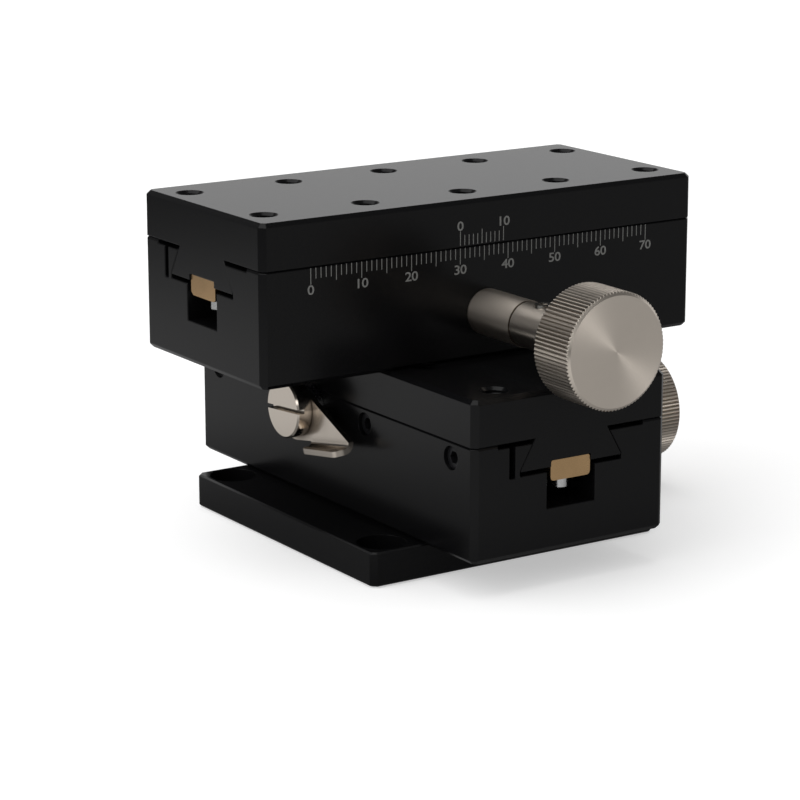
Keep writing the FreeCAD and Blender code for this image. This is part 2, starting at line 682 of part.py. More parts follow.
def gear_wire(module, teeth, pressure_angle):
    """Closed outline of an involute gear with a tooth on the upright axis."""
    pitch_radius = module * teeth / 2
    root_radius = pitch_radius - 1.25 * module
    tip_radius = pitch_radius + module
    half_tooth = math.pi / (2 * teeth) + math.tan(pressure_angle) - pressure_angle
    flank = involute_points(tip_radius, pitch_radius * math.cos(pressure_angle))

    def point(radius, angle):
        return Vector(-radius * math.sin(angle), radius * math.cos(angle), 0)

    edges = []
    for tooth in range(teeth):
        middle = 2 * math.pi * tooth / teeth
        rising = [point(radius, middle - half_tooth + turn) for radius, turn in flank]
        falling = [point(radius, middle + half_tooth - turn) for radius, turn in reversed(flank)]
        root_start = point(root_radius, middle - half_tooth)
        root_end = point(root_radius, middle + half_tooth)
        next_root = point(root_radius, middle + 2 * math.pi / teeth - half_tooth)
        corners = [root_start] + rising + falling + [root_end, next_root]
        for start, end in zip(corners, corners[1:]):
            edges.append(Part.LineSegment(start, end).toShape())
    return Part.Wire(edges)


def pinion(stage):
    """Involute pinion with a plain hub, pressed on the shaft."""
    feature = doc.addObject("Part::Feature", f"{stage}_pinion")
    nodes.append(feature)
    length = size_of(f"2 * {PINION_HALF}")
    face_width = size_of("Dims.PinionFaceWidth")
    bore = size_of("Dims.ShaftDiameter / 2 + Dims.FitGap")
    hub_radius = size_of("Dims.PinionHubDiameter / 2")
    angle = math.radians(size_of("Dims.PressureAngle"))
    outline = gear_wire(size_of("Dims.GearModule"), int(size_of("Dims.PinionTeeth")), angle)
    teeth = Part.Face(outline).extrude(Vector(0, 0, face_width))
    teeth.translate(Vector(0, 0, length - face_width))
    hub = Part.makeCylinder(hub_radius, length - face_width)
    feature.Shape = teeth.fuse(hub).cut(Part.makeCylinder(bore, length)).removeSplitter()
    seat(feature, stage, across=PINION_HALF, height=AXLE_HEIGHT, facing="knob")
    return feature


def knob(stage):
    """Knob: straight knurled disc on a long hub with a blind bore."""
    body = new_body(f"{stage}_knob")
    seat(body, stage, across=f"-{hub_start(stage)}", height=AXLE_HEIGHT, facing="knob")
    bore = "(Dims.ShaftDiameter / 2 + Dims.FitGap)"
    hub = "(Dims.HubDiameter / 2)"
    disc = "(Dims.KnobDiameter / 2)"
    core = f"({disc} - Dims.KnurlStep)"
    end = "(Dims.HubLength + Dims.KnobWidth)"
    bore_end = "(Dims.HubLength + Dims.KnobBore + Dims.AxialPlay)"
    turn_profile(body, [
        (bore, "0"),
        (f"{hub} - Dims.EdgeBreak", "0"),
        (hub, "Dims.EdgeBreak"),
        (hub, "Dims.HubLength"),
        (f"{core} - Dims.KnobChamfer", "Dims.HubLength"),
        (core, "Dims.HubLength + Dims.KnobChamfer"),
        (disc, "Dims.HubLength + Dims.KnobChamfer"),
        (disc, f"{end} - Dims.KnobChamfer"),
        (core, f"{end} - Dims.KnobChamfer"),
        (f"{core} - Dims.KnobChamfer", end),
        ("0", end),
        ("0", bore_end),
        (bore, bore_end),
    ])
    hole = new_sketch(body, "XZ_Plane")
    draw_circle(hole, "0", "Dims.GrubOffset", "Dims.GrubDiameter + 2 * Dims.ScrewGap")
    add_pocket(body, hole)
    cut_knurl(body, disc, end)
    return body


def cut_knurl(body, disc, end):
    """Straight knurl round the disc."""
    over = "0.3"
    half_width = f"((Dims.KnurlDepth + {over}) * tan(Dims.KnurlHalfAngle))"
    groove = new_sketch(body, out=end)
    draw_outline(groove, [
        ("0", f"{disc} - Dims.KnurlDepth"),
        (half_width, f"{disc} + {over}"),
        (f"-{half_width}", f"{disc} + {over}"),
    ])
    cut = add_pocket(body, groove, "Dims.KnobWidth")
    knurl = body.newObject("PartDesign::PolarPattern", f"{body.Label}_knurl")
    knurl.Originals = [cut]
    knurl.Axis = (origin_part(body, "Z_Axis"), [""])
    knurl.Angle = 360
    knurl.setExpression("Occurrences", "Dims.KnurlCount")
    body.Tip = knurl
    before = body.Shape.Volume
    doc.recompute()
    check_cut(body, before)


def knob_grub_screw(stage):
    """Grub screw that holds the knob on the shaft."""
    body = new_body(f"{stage}_knob_grub_screw")
    seat(body, stage, across=f"-({hub_start(stage)} + Dims.GrubOffset)",
         height=f"{AXLE_HEIGHT} + Dims.ShaftDiameter / 2")
    section = new_sketch(body)
    draw_circle(section, "0", "0", "Dims.GrubDiameter")
    length = "((Dims.HubDiameter - Dims.ShaftDiameter) / 2 + Dims.GrubStandOut)"
    add_pad(body, section, length)
    socket = new_sketch(body, out=length)
    draw_hexagon(socket, "0", "0", "Dims.GrubSocket")
    add_pocket(body, socket, f"{length} / 2")
    return body


def gib_screws(stage):
    """Four set screws that press the leaf against the tongue."""
    body = new_body(f"{stage}_gib_screws")
    outer_end = f"({SIDE} - Dims.GibScrewRecess)"
    seat(body, stage, across=outer_end, height=SCREW_HEIGHT, facing="knob")
    section = new_sketch(body)
    sockets = new_sketch(body)
    for place in ("Dims.GibScrewInner", "Dims.GibScrewOuter"):
        for sign in ("", "-"):
            draw_circle(section, f"{sign}{place}", "0", "Dims.GibScrewDiameter")
            draw_hexagon(sockets, f"{sign}{place}", "0", "Dims.GibScrewSocket")
    add_pad(body, section, f"{outer_end} - {SLIT_INNER} - Dims.FitGap")
    add_pocket(body, sockets, "Dims.SocketDepth", along_normal=True)
    return body


def lock_pad(stage):
    """Pressure pad between the lock screw and the leaf."""
    body = new_body(f"{stage}_lock_pad")
    seat(body, stage, along="Dims.LockOffset", across=f"{SLIT_INNER} + Dims.FitGap",
         height=SCREW_HEIGHT, facing="lock")
    section = new_sketch(body)
    draw_circle(section, "0", "0", "Dims.LockScrewDiameter")
    add_pad(body, section, "Dims.LockPadLength - Dims.FitGap - Dims.LockPadGap")
    return body


def lock_collar(stage):
    """Spacer collar between the body and the lever."""
    body = new_body(f"{stage}_lock_collar")
    seat(body, stage, along="Dims.LockOffset", across=f"{SIDE} + Dims.LockPadGap",
         height=SCREW_HEIGHT, facing="lock")
    ring = new_sketch(body)
    draw_circle(ring, "0", "0", "Dims.CollarDiameter")
    draw_circle(ring, "0", "0", "Dims.LockScrewDiameter + 2 * Dims.ScrewGap")
    add_pad(body, ring, "Dims.CollarLength - Dims.LockPadGap")
    return body


def lock_screw(stage):
    """Slotted cheese-head screw that turns with the lever."""
    body = new_body(f"{stage}_lock_screw")
    seat(body, stage, along="Dims.LockOffset", across=PAD_END, height=SCREW_HEIGHT,
         facing="lock", turn="Dims.LockSlotTilt")
    shank = "(Dims.LockScrewDiameter / 2)"
    head = "(Dims.LockHeadDiameter / 2)"
    neck = f"({LEVER_FACE} + Dims.LeverThickness - {PAD_END})"
    top = f"({neck} + Dims.LockHeadHeight)"
    turn_profile(body, [
        ("0", "0"),
        (shank, "0"),
        (shank, neck),
        (head, neck),
        (head, f"{top} - Dims.LockHeadChamfer"),
        (f"{head} - Dims.LockHeadChamfer", top),
        ("0", top),
    ])
    slot = new_sketch(body, out=top)
    draw_rectangle(slot, "Dims.LockHeadDiameter", "-Dims.LockSlotWidth / 2", "Dims.LockSlotWidth / 2")
    add_pocket(body, slot, "Dims.LockSlotDepth")
    return body


def lock_lever(stage):
    """Sheet lever: a bent strip, trimmed to the outline that is seen from the side."""
    body = new_body(f"{stage}_lock_lever")
    seat(body, stage, along="Dims.LockOffset", across=LEVER_FACE, height=SCREW_HEIGHT,
         facing="lock", turn="Dims.LeverTilt")
    bend_strip(body)
    trim_strip(body)
    hole = new_sketch(body)
    draw_circle(hole, "0", "0", "Dims.LockScrewDiameter + 2 * Dims.ScrewGap")
    add_pocket(body, hole, along_normal=True)
    return body


def bend_strip(body):
    """Strip that runs down, turns outwards in a round fold and goes on straight."""
    thickness = "Dims.LeverThickness"
    radius = "Dims.FoldRadius"
    outer = f"({radius} + {thickness})"
    fold = f"-{FOLD_DROP}"
    sine = "sin(Dims.TabAngle)"
    cosine = "cos(Dims.TabAngle)"
    flat = f"(2 * Dims.TabDrop)"
    outer_end = (f"{fold} - {outer} * {sine}", f"{outer} - {outer} * {cosine}")
    inner_end = (f"{fold} - {radius} * {sine}", f"{outer} - {radius} * {cosine}")
    strip = new_sketch(body, "YZ_Plane")
    draw_outline(strip, [
        ("Dims.LeverEndRadius", "0"),
        (fold, "0", outer, -1),
        outer_end,
        (f"{outer_end[0]} - {flat} * {cosine}", f"{outer_end[1]} + {flat} * {sine}"),
        (f"{inner_end[0]} - {flat} * {cosine}", f"{inner_end[1]} + {flat} * {sine}"),
        (inner_end[0], inner_end[1], radius, 1),
        (fold, thickness),
        ("Dims.LeverEndRadius", thickness),
    ])
    add_pad(body, strip, "4 * Dims.LeverEdgeLength", symmetric=True)


def trim_strip(body):
    """Cut away what lies outside the lever's outline."""
    radius = "Dims.LeverEndRadius"
    back = "-Dims.LeverEndBack"
    drop = "-Dims.LeverEndDrop"
    fold = f"-{FOLD_DROP}"
    top = (f"{back} + {radius} * sin(Dims.LeverTaper)", f"{drop} + {radius} * cos(Dims.LeverTaper)")
    tip = (f"{top[0]} + Dims.LeverEdgeLength * cos(Dims.LeverTaper)",
           f"{top[1]} - Dims.LeverEdgeLength * sin(Dims.LeverTaper)")
    frame = "(4 * Dims.LeverEdgeLength)"
    around = new_sketch(body)
    draw_rectangle(around, frame, f"-{frame}", frame)
    draw_outline(around, [
        (back, fold, radius, -1),
        (f"{back} - {radius}", drop, radius, -1),
        top,
        tip,
        ("Dims.TabEnd", fold, "Dims.TabCornerRadius", -1),
        ("Dims.TabCorner", f"{fold} - Dims.TabDrop", "Dims.TabRimRadius", -1),
        ("Dims.TabStart", fold),
    ])
    add_pocket(body, around, symmetric=True)


def slide(stage):
    """All the pieces of one slide."""
    slide_body(stage)
    slide_table(stage)
    rack(stage)
    stop_screws(stage)
    gib_screws(stage)
    bearing_sleeve(stage)
    drive_shaft(stage)
    pinion(stage)
    knob(stage)
    knob_grub_screw(stage)
    lock_pad(stage)
    lock_collar(stage)
    lock_screw(stage)
    lock_lever(stage)


def check_model():
    """Stop if any object failed or any node is not a sound solid."""
    doc.recompute()
    for item in doc.Objects:
        if "Invalid" in item.State or "Error" in item.State:
            raise RuntimeError(f"{item.Label} failed")
    for node in nodes:
        if node.Shape.isNull() or not node.Shape.isValid() or not node.Shape.Solids:
            raise RuntimeError(f"{node.Label} is not a sound solid")


def export_nodes():
    """Write one STEP file for each node."""
    os.makedirs("parts", exist_ok=True)
    for node in nodes:
        node.Shape.exportStep(f"parts/{node.Label}.step")


make_sheet()
base_plate()
for name in STAGES:
    slide(name)
check_model()
export_nodes()
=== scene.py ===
"""Finished look of a manual XY translation stage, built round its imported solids.

The lower slide (y) travels along Y and the upper one (x) along X. Both have the same pieces,
so each piece is made in the frame of its slide: x along its travel, y across it towards its
lock, and z up from the underside of its body. The knob stands at negative y.
"""
import json
import math

import bmesh
import bpy
from bpy.props import FloatProperty, FloatVectorProperty, IntProperty, PointerProperty
from mathutils import Matrix, Vector


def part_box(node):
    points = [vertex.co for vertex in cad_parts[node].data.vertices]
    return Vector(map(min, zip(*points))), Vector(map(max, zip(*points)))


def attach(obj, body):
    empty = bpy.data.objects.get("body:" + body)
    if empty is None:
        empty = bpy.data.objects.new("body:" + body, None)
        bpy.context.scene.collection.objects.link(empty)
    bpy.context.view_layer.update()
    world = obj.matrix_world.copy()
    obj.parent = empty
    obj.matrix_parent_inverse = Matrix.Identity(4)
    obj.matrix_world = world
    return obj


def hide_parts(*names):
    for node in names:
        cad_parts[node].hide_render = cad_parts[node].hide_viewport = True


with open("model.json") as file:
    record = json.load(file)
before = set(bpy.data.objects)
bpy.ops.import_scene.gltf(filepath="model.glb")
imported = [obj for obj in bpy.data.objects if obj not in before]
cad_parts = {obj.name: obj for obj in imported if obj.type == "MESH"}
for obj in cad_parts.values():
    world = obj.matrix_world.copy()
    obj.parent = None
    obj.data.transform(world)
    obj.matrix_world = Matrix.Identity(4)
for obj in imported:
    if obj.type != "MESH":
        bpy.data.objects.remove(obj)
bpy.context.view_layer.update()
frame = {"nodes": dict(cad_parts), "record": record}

bl_info = {
    "name": "XY translation stage",
    "version": (1, 0, 0),
    "blender": (4, 5, 0),
    "location": "3D View > Sidebar > Stage",
    "description": "Dresses a two-axis dovetail stage with its finishes, scales and threads",
    "category": "Object",
}

MM = 0.001
WELD = 0.0001 * MM
TOUCH = 0.001 * MM
FLAT = math.radians(0.5)
SHARP = math.radians(60.0)

STAGES = {
    "y": {"turn": math.radians(90), "fixed": "base", "moving": "y_carriage", "drive": "y_drive"},
    "x": {"turn": 0.0, "fixed": "y_carriage", "moving": "x_carriage", "drive": "x_drive"},
}


# Frames of the slides and their pieces

def slide_matrix(stage):
    """From the frame of a slide to the frame of the whole."""
    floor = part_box(f"{stage}_body")[0].z
    return Matrix.Translation((0, 0, floor)) @ Matrix.Rotation(STAGES[stage]["turn"], 4, "Z")


def slide_box(node, stage):
    """Lowest and highest corner of a node in the frame of its slide."""
    inverse = slide_matrix(stage).inverted()
    corners = [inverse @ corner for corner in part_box(node)]
    low = Vector(min(corner[axis] for corner in corners) for axis in range(3))
    high = Vector(max(corner[axis] for corner in corners) for axis in range(3))
    return low, high


def front_face(stage):
    """Frame on the scale side of a slide: x along it, y up, z outwards, at the seam."""
    low, high = slide_box(f"{stage}_body", stage)
    place = Matrix.Translation((0, low.y, high.z))
    return slide_matrix(stage) @ place @ Matrix.Rotation(math.radians(90), 4, "X")


def knob_matrix(stage):
    """Frame of a knob: z outwards along its axis, from the end of its hub."""
    low, high = slide_box(f"{stage}_knob", stage)
    place = Matrix.Translation((0, high.y, (low.z + high.z) / 2))
    return slide_matrix(stage) @ place @ Matrix.Rotation(math.radians(90), 4, "X")


def lever_matrix(stage, lever):
    """Frame of a lever at its pivot: x along the fold, y up, z outwards from its back."""
    joint = next(joint for joint in frame["record"]["behaviour"]["joints"]
                 if joint["name"] == f"{stage}_lock_turn")
    pivot = slide_matrix(stage).inverted() @ Vector(joint["pos_m"])
    pivot.y = slide_box(f"{stage}_lock_lever", stage)[0].y
    sine, cosine = math.sin(lever.tilt), math.cos(lever.tilt)
    axes = Matrix(((-cosine, 0, sine), (sine, 0, cosine), (0, 1, 0))).transposed().to_4x4()
    return slide_matrix(stage) @ Matrix.Translation(pivot) @ axes


# Node trees

def add_node(tree, kind, inputs=None, **settings):
    """Node with its settings and its inputs, each a value or a socket to link from."""
    node = tree.nodes.new(kind)
    for name, value in settings.items():
        setattr(node, name, value)
    for key, source in (inputs or {}).items():
        if isinstance(source, bpy.types.NodeSocket):
            tree.links.new(source, node.inputs[key])
        else:
            node.inputs[key].default_value = source
    return node


def output(tree, kind, inputs=None, **settings):
    """First output of a new node."""
    return add_node(tree, kind, inputs, **settings).outputs[0]


def math_node(tree, operation, *terms):
    """Output of a Math node."""
    return output(tree, "ShaderNodeMath", dict(enumerate(terms)), operation=operation)


def vector_node(tree, operation, *terms):
    """Outputs of a Vector Math node."""
    return add_node(tree, "ShaderNodeVectorMath", dict(enumerate(terms)), operation=operation).outputs


def xyz_node(tree, **parts):
    """Vector from its parts."""
    return output(tree, "ShaderNodeCombineXYZ", parts)


def map_range(tree, value, given, wanted, **settings):
    """Value taken from a given range to a wanted one and kept inside it."""
    return output(tree, "ShaderNodeMapRange", {
        "Value": value, "From Min": given[0], "From Max": given[1],
        "To Min": wanted[0], "To Max": wanted[1]}, **settings)


def mix_values(tree, factor, first, second):
    """Value between two others."""
    return output(tree, "ShaderNodeMix", {"Factor": factor, 2: first, 3: second})


def mix_colours(tree, factor, first, second):
    """Colour between two others, with their alpha."""
    return add_node(tree, "ShaderNodeMix", {"Factor": factor, 6: first, 7: second},
                    data_type="RGBA").outputs[2]


def new_tree(name, **sockets):
    """Geometry Nodes tree with inputs of given kinds and names, and its input node."""
    tree = bpy.data.node_groups.new(name, "GeometryNodeTree")
    for kind, labels in {**sockets, "Material": ["Material"]}.items():
        for label in labels:
            tree.interface.new_socket(label, in_out="INPUT", socket_type=f"NodeSocket{kind}")
    tree.interface.new_socket("Geometry", in_out="OUTPUT", socket_type="NodeSocketGeometry")
    return tree, tree.nodes.new("NodeGroupInput").outputs


def end_tree(tree, geometry, material):
    """Realize the instances, give them their material and hand them out."""
    real = output(tree, "GeometryNodeRealizeInstances", {"Geometry": geometry})
    done = output(tree, "GeometryNodeSetMaterial", {"Geometry": real, "Material": material})
    add_node(tree, "NodeGroupOutput", {0: done})
    return tree


def evaluated_mesh(holder):
    """Mesh of an object that is made for it alone and then removed."""
    graph = bpy.context.evaluated_depsgraph_get()
    mesh = bpy.data.meshes.new_from_object(holder.evaluated_get(graph))
    bpy.data.objects.remove(holder)
    return mesh


def run_tree(tree, values, start=None):
    """Plain mesh that a tree makes from its values, and from a start mesh where it has one."""
    holder = add_object(tree.name, start or bpy.data.meshes.new(tree.name))
    modifier = holder.modifiers.new(tree.name, "NODES")
    modifier.node_group = tree
    for item in tree.interface.items_tree:
        if item.in_out == "INPUT" and item.name in values:
            modifier[item.identifier] = values[item.name]
    return evaluated_mesh(holder)


# Meshes and pieces

def add_object(name, data):
    """Object in the scene, at the origin."""
    item = bpy.data.objects.new(name, data)
    bpy.context.scene.collection.objects.link(item)
    return item


def add_piece(name, mesh, body, material):
    """Object that rides on a body and takes a finish."""
    mesh.name = name
    mesh.materials.clear()
    mesh.materials.append(material)
    piece = add_object(name, mesh)
    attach(piece, body)
    return piece


def replace_node(node, ending, mesh, body, crease, material=None):
    """Piece that takes the place of a node, which is hidden, with the node's own finish or a given one.
    """
    shade(mesh, crease)
    piece = add_piece(f"{node}_{ending}", mesh, body, material or finish_of(node))
    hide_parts(node)


def slot_of(node):
    """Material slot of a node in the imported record."""
    return next(part["material_slot"] for part in frame["record"]["subparts"] if part["node"] == node)


def finish_of(node):
    """Material that a node has now."""
    return frame["nodes"][node].data.materials[0]


def shade(mesh, crease):
    """Smooth shading with sharp edges above an angle in degrees."""
    mesh.shade_smooth()
    mesh.set_sharp_from_angle(angle=math.radians(crease))


def mesh_from(work, name):
    """Mesh of a bmesh that is no longer needed."""
    mesh = bpy.data.meshes.new(name)
    work.to_mesh(mesh)
    work.free()
    return mesh


def join_meshes(meshes):
    """One mesh from several."""
    joined = bmesh.new()
    for mesh in meshes:
        joined.from_mesh(mesh)
    return mesh_from(joined, "joined")


def merged_copy(node):
    """Copy of a node's mesh with its corners joined."""
    work = bmesh.new()
    work.from_mesh(frame["nodes"][node].data)
    bmesh.ops.remove_doubles(work, verts=work.verts, dist=WELD)
    mesh = mesh_from(work, node)
    if "custom_normal" in mesh.attributes:
        mesh.attributes.remove(mesh.attributes["custom_normal"])
    return mesh


def slide_copy(node, stage):
    """Copy of a node's mesh in the frame of its slide."""
    mesh = merged_copy(node)
    mesh.transform(slide_matrix(stage).inverted())
    return mesh


def bevel_edges(work, edges, width, segments):
    """Break edges of a bmesh."""
    bmesh.ops.bevel(work, geom=edges, offset=width, offset_type="OFFSET", segments=segments,
                    profile=0.5, affect="EDGES", clamp_overlap=True)


def break_edges(mesh, is_wanted, width, segments):
    """Join the flat faces of a mesh and break the edges that a test picks."""
    work = bmesh.new()
    work.from_mesh(mesh)
    bmesh.ops.dissolve_limit(work, verts=work.verts, edges=work.edges, angle_limit=FLAT)
    bevel_edges(work, [edge for edge in work.edges if is_wanted(edge)], width, segments)
    work.to_mesh(mesh)
    work.free()


def ease_ends(mesh, width):
    """Break the edges round both end faces of a slide's piece."""
    end = max(abs(vertex.co.x) for vertex in mesh.vertices)

    def is_round_an_end(edge):
        return all(abs(abs(vertex.co.x) - end) < TOUCH for vertex in edge.verts)

    break_edges(mesh, is_round_an_end, width, segments=1)


def is_end_corner(edge):
    """Whether an edge is a sharp corner along the slide and longer than those of the teeth."""
    first, second = edge.verts
    along = abs(first.co.x - second.co.x)
    is_parallel = along > 0.999 * edge.calc_length()
    is_long = along > 2.0 * MM
    return is_parallel and is_long and edge.calc_face_angle(0.0) > SHARP


def join_rings(work, rings):
    """Faces between rings of the same number of corners."""
    count = len(rings[0])
    for lower, upper in zip(rings, rings[1:]):
        for column in range(count):
            after = (column + 1) % count
            work.faces.new((lower[column], lower[after], upper[after], upper[column]))


# Finishes

def start_material(name, colour, metallic, roughness):
    """Material with its shader set to plain values."""
    material = bpy.data.materials.new(name)
    material.use_nodes = True
    shader = material.node_tree.nodes["Principled BSDF"]
    shader.inputs["Base Color"].default_value = scaled(colour, 1.0)
    shader.inputs["Metallic"].default_value = metallic
    shader.inputs["Roughness"].default_value = roughness
    return material, material.node_tree, shader


def scaled(colour, factor):
    """Colour made lighter or darker, with full alpha."""
    return (*(min(channel * factor, 1.0) for channel in colour[:3]), 1.0)


def object_noise(tree, scale, detail, stretch=(1, 1, 1)):
    """Noise that is fixed to the piece."""
    place = add_node(tree, "ShaderNodeTexCoord").outputs["Object"]
    mapped = output(tree, "ShaderNodeMapping", {"Vector": place, "Scale": stretch})
    return output(tree, "ShaderNodeTexNoise", {"Vector": mapped, "Scale": scale, "Detail": detail})


def vary_colour(tree, shader, noise, low, high):
    """Base colour that follows a noise."""
    tree.links.new(mix_colours(tree, noise, low, high), shader.inputs["Base Color"])


def vary_roughness(tree, shader, noise, low, high):
    """Roughness that follows a noise, which is mostly between 0.3 and 0.7."""
    tree.links.new(map_range(tree, noise, (0.3, 0.7), (low, high)), shader.inputs["Roughness"])


def add_bump(tree, shader, noise, strength, **inputs):
    """Relief of a hundredth of a millimetre that follows a noise."""
    bump = output(tree, "ShaderNodeBump",
                  {"Strength": strength, "Distance": 0.01 * MM, "Height": noise, **inputs})
    tree.links.new(bump, shader.inputs["Normal"])


def dirty_crevices(tree, shader, colour, reach):
    """Base colour that turns dark brown as painted shade where surfaces face each other closely."""
    # Colour of the painted shade
    brown = (0.10, 0.075, 0.055, 1.0)
    air = add_node(tree, "ShaderNodeAmbientOcclusion", {"Distance": reach}, samples=8).outputs["AO"]
    unshaded_share = map_range(tree, air, (0.45, 1.0), (0.0, 1.0))
    tree.links.new(mix_colours(tree, unshaded_share, brown, colour), shader.inputs["Base Color"])


def black_anodised(settings):
    """Fine-milled aluminium with a black anodised coat and softly broken edges."""
    colour = settings.anodised_colour
    material, tree, shader = start_material("black anodised aluminium", colour, 0.0, 0.22)
    grain = object_noise(tree, scale=9000.0, detail=2.0)
    cloud = object_noise(tree, scale=60.0, detail=2.0)
    vary_colour(tree, shader, cloud, scaled(colour, 0.9), scaled(colour, 1.1))
    vary_roughness(tree, shader, grain, low=0.20, high=0.25)
    edge = output(tree, "ShaderNodeBevel", {"Radius": settings.eased_edge}, samples=4)
    add_bump(tree, shader, grain, strength=0.08, Normal=edge)
    shader.inputs["IOR"].default_value = 1.31
    return material


def turned_metal(name, colour, roughness, centre, axis, anisotropy):
    """Metal turned on a lathe: fine rings round an axis, which draw its shine out, and painted shade in
    its grooves and seams.
    """
    material, tree, shader = start_material(name, colour, 1.0, roughness)
    place = add_node(tree, "ShaderNodeTexCoord").outputs["Object"]
    offset = output(tree, "ShaderNodeMapping", {"Vector": place, "Location": -centre})
    ring = vector_node(tree, "CROSS_PRODUCT", axis, offset)[0]
    radius = vector_node(tree, "LENGTH", ring)["Value"]
    depth = vector_node(tree, "DOT_PRODUCT", axis, offset)["Value"]
    tangent = output(tree, "ShaderNodeVectorTransform", {"Vector": ring},
                     vector_type="VECTOR", convert_from="OBJECT", convert_to="WORLD")
    tree.links.new(vector_node(tree, "NORMALIZE", tangent)[0], shader.inputs["Tangent"])
    rings = output(tree, "ShaderNodeTexNoise",
                   {"W": math_node(tree, "ADD", radius, depth), "Scale": 7000.0, "Detail": 3.0},
                   noise_dimensions="1D")
    cloud = object_noise(tree, scale=500.0, detail=3.0)
    tint = mix_colours(tree, cloud, scaled(colour, 0.98), scaled(colour, 1.02))
    # Painted shade in the knurl's grooves and at the seam of the hub
    dirty_crevices(tree, shader, tint, reach=0.4 * MM)
    vary_roughness(tree, shader, rings, roughness * 0.92, roughness * 1.1)
    add_bump(tree, shader, rings, strength=0.05)
    shader.inputs["Anisotropic"].default_value = anisotropy
    shader.inputs["Anisotropic Rotation"].default_value = 0.25
    return material


def polished_metal(name, colour, roughness, reach):
    """Smooth plated metal, a little cloudy in its shine, with painted shade in its crevices."""
    material, tree, shader = start_material(name, colour, 1.0, roughness)
    cloud = object_noise(tree, scale=350.0, detail=2.0)
    vary_roughness(tree, shader, cloud, roughness * 0.85, roughness * 1.2)
    tint = mix_colours(tree, cloud, scaled(colour, 0.97), scaled(colour, 1.02))
    # Painted shade where pieces meet, spread as far as the reach
    dirty_crevices(tree, shader, tint, reach)
    return material


def milled_metal(name, colour, roughness, stretch=(1, 1, 1)):
    """Milled or drawn metal with fine marks along one direction."""
    material, tree, shader = start_material(name, colour, 1.0, roughness)
    marks = object_noise(tree, scale=2500.0, detail=3.0, stretch=stretch)
    cloud = object_noise(tree, scale=300.0, detail=3.0)
    vary_colour(tree, shader, cloud, scaled(colour, 0.85), scaled(colour, 1.1))
    vary_roughness(tree, shader, marks, roughness * 0.8, roughness * 1.25)
    add_bump(tree, shader, marks, strength=0.2)
    return material


def black_oxide():
    """Black oxide on small steel screws."""
    material, tree, shader = start_material("black oxide steel", (0.015, 0.015, 0.017), 0.4, 0.35)
    grain = object_noise(tree, scale=6000.0, detail=2.0)
    vary_roughness(tree, shader, grain, low=0.3, high=0.4)
    add_bump(tree, shader, grain, strength=0.15)
    return material


def white_filling(colour):
    """White paint in the engraved marks."""
    material, tree, shader = start_material("white engraving paint", colour, 0.0, 0.6)
    patches = object_noise(tree, scale=2500.0, detail=2.0)
    vary_colour(tree, shader, patches, scaled(colour, 0.75), scaled(colour, 1.0))
    return material


def nickel_for(node, nickel):
    """Polished nickel on the locks, and turned nickel with rings round the node's own axis."""
    name = f"{node} nickel"
    # The reach is how far the painted crevice shade spreads from a nearby surface
    if "lever" in node:
        return polished_metal(name, nickel, roughness=0.22, reach=2.0 * MM)
    if "lock" in node:
        return polished_metal(name, nickel, roughness=0.16, reach=0.2 * MM)
    low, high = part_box(node)
    axis = Vector((1, 0, 0)) if node.startswith("y") else Vector((0, 1, 0))
    return turned_metal(name, nickel, 0.4, (low + high) / 2, axis, anisotropy=0.6)


# Properties

def in_mm(name, millimetres, description):
    """Setting for a length, given in millimetres."""
    return FloatProperty(name=name, description=description, unit="LENGTH", default=millimetres * MM)


def in_degrees(name, degrees, description):
    """Setting for an angle, given in degrees."""
    return FloatProperty(name=name, description=description, subtype="ANGLE",
                         default=math.radians(degrees))


def as_colour(name, colour, description):
    """Setting for a colour."""
    return FloatVectorProperty(name=name, description=description, subtype="COLOR", size=3,
                               min=0.0, max=1.0, default=colour)


def as_share(name, value, description):
    """Setting between zero and one."""
    return FloatProperty(name=name, description=description, min=0.0, max=1.0, default=value)


def as_factor(name, value, description):
    """Setting of zero or more."""
    return FloatProperty(name=name, description=description, min=0.0, default=value)


class StageFinishes(bpy.types.PropertyGroup):
    """Colours of the finishes, and broken edges."""
    anodised_colour: as_colour("Black coat", (0.004, 0.004, 0.0044), "Colour of the anodised pieces")
    nickel_colour: as_colour("Nickel", (0.77, 0.693, 0.608), "Colour of the knobs, sleeves and levers")
    brass_colour: as_colour("Brass", (0.66, 0.43, 0.22), "Colour of the racks and pressure pads")
    mark_colour: as_colour("Marks", (0.22, 0.22, 0.21), "Colour of the paint in the scales")
    knob_shine: as_factor("Knob shine", 1.1, "Brightness of the knobs over the other nickel")
    eased_edge: in_mm("Eased edge", 0.12, "Broken edges round the end faces")
    rack_corner: in_mm("Rack corner", 0.7, "Radius of the long corners of the racks")


class StageScales(bpy.types.PropertyGroup):
    """Sizes of the engraved scales."""
    divisions: IntProperty(
        name="Divisions", description="Divisions of the main scale", min=10, default=70)
    division: in_mm("Division", 1.0, "Pitch of the main scale")
    vernier_division: in_mm("Vernier division", 0.9, "Pitch of the vernier")
    offset: in_mm("Offset", -0.55, "Middle of the scales from the middle of the slide")
    main_gap: in_mm("Main gap", 0.2, "Seam to the main scale")
    vernier_gap: in_mm("Vernier gap", 0.3, "Seam to the vernier")
    short_mark: in_mm("Short mark", 1.8, "Length of the single marks")
    middle_mark: in_mm("Middle mark", 2.5, "Length of every fifth mark")
    long_mark: in_mm("Long mark", 2.75, "Length of every tenth mark")
    mark_width: in_mm("Mark width", 0.15, "Width of a mark")
    numeral_gap: in_mm("Numeral gap", 0.08, "Long marks to the numerals")
    numeral_height: in_mm("Numeral height", 1.65, "Height of the numerals")
    numeral_width: as_factor("Numeral width", 1.22, "Width of the numerals over the font's own")
    relief: in_mm("Paint height", 0.02, "Height of the paint above the metal")


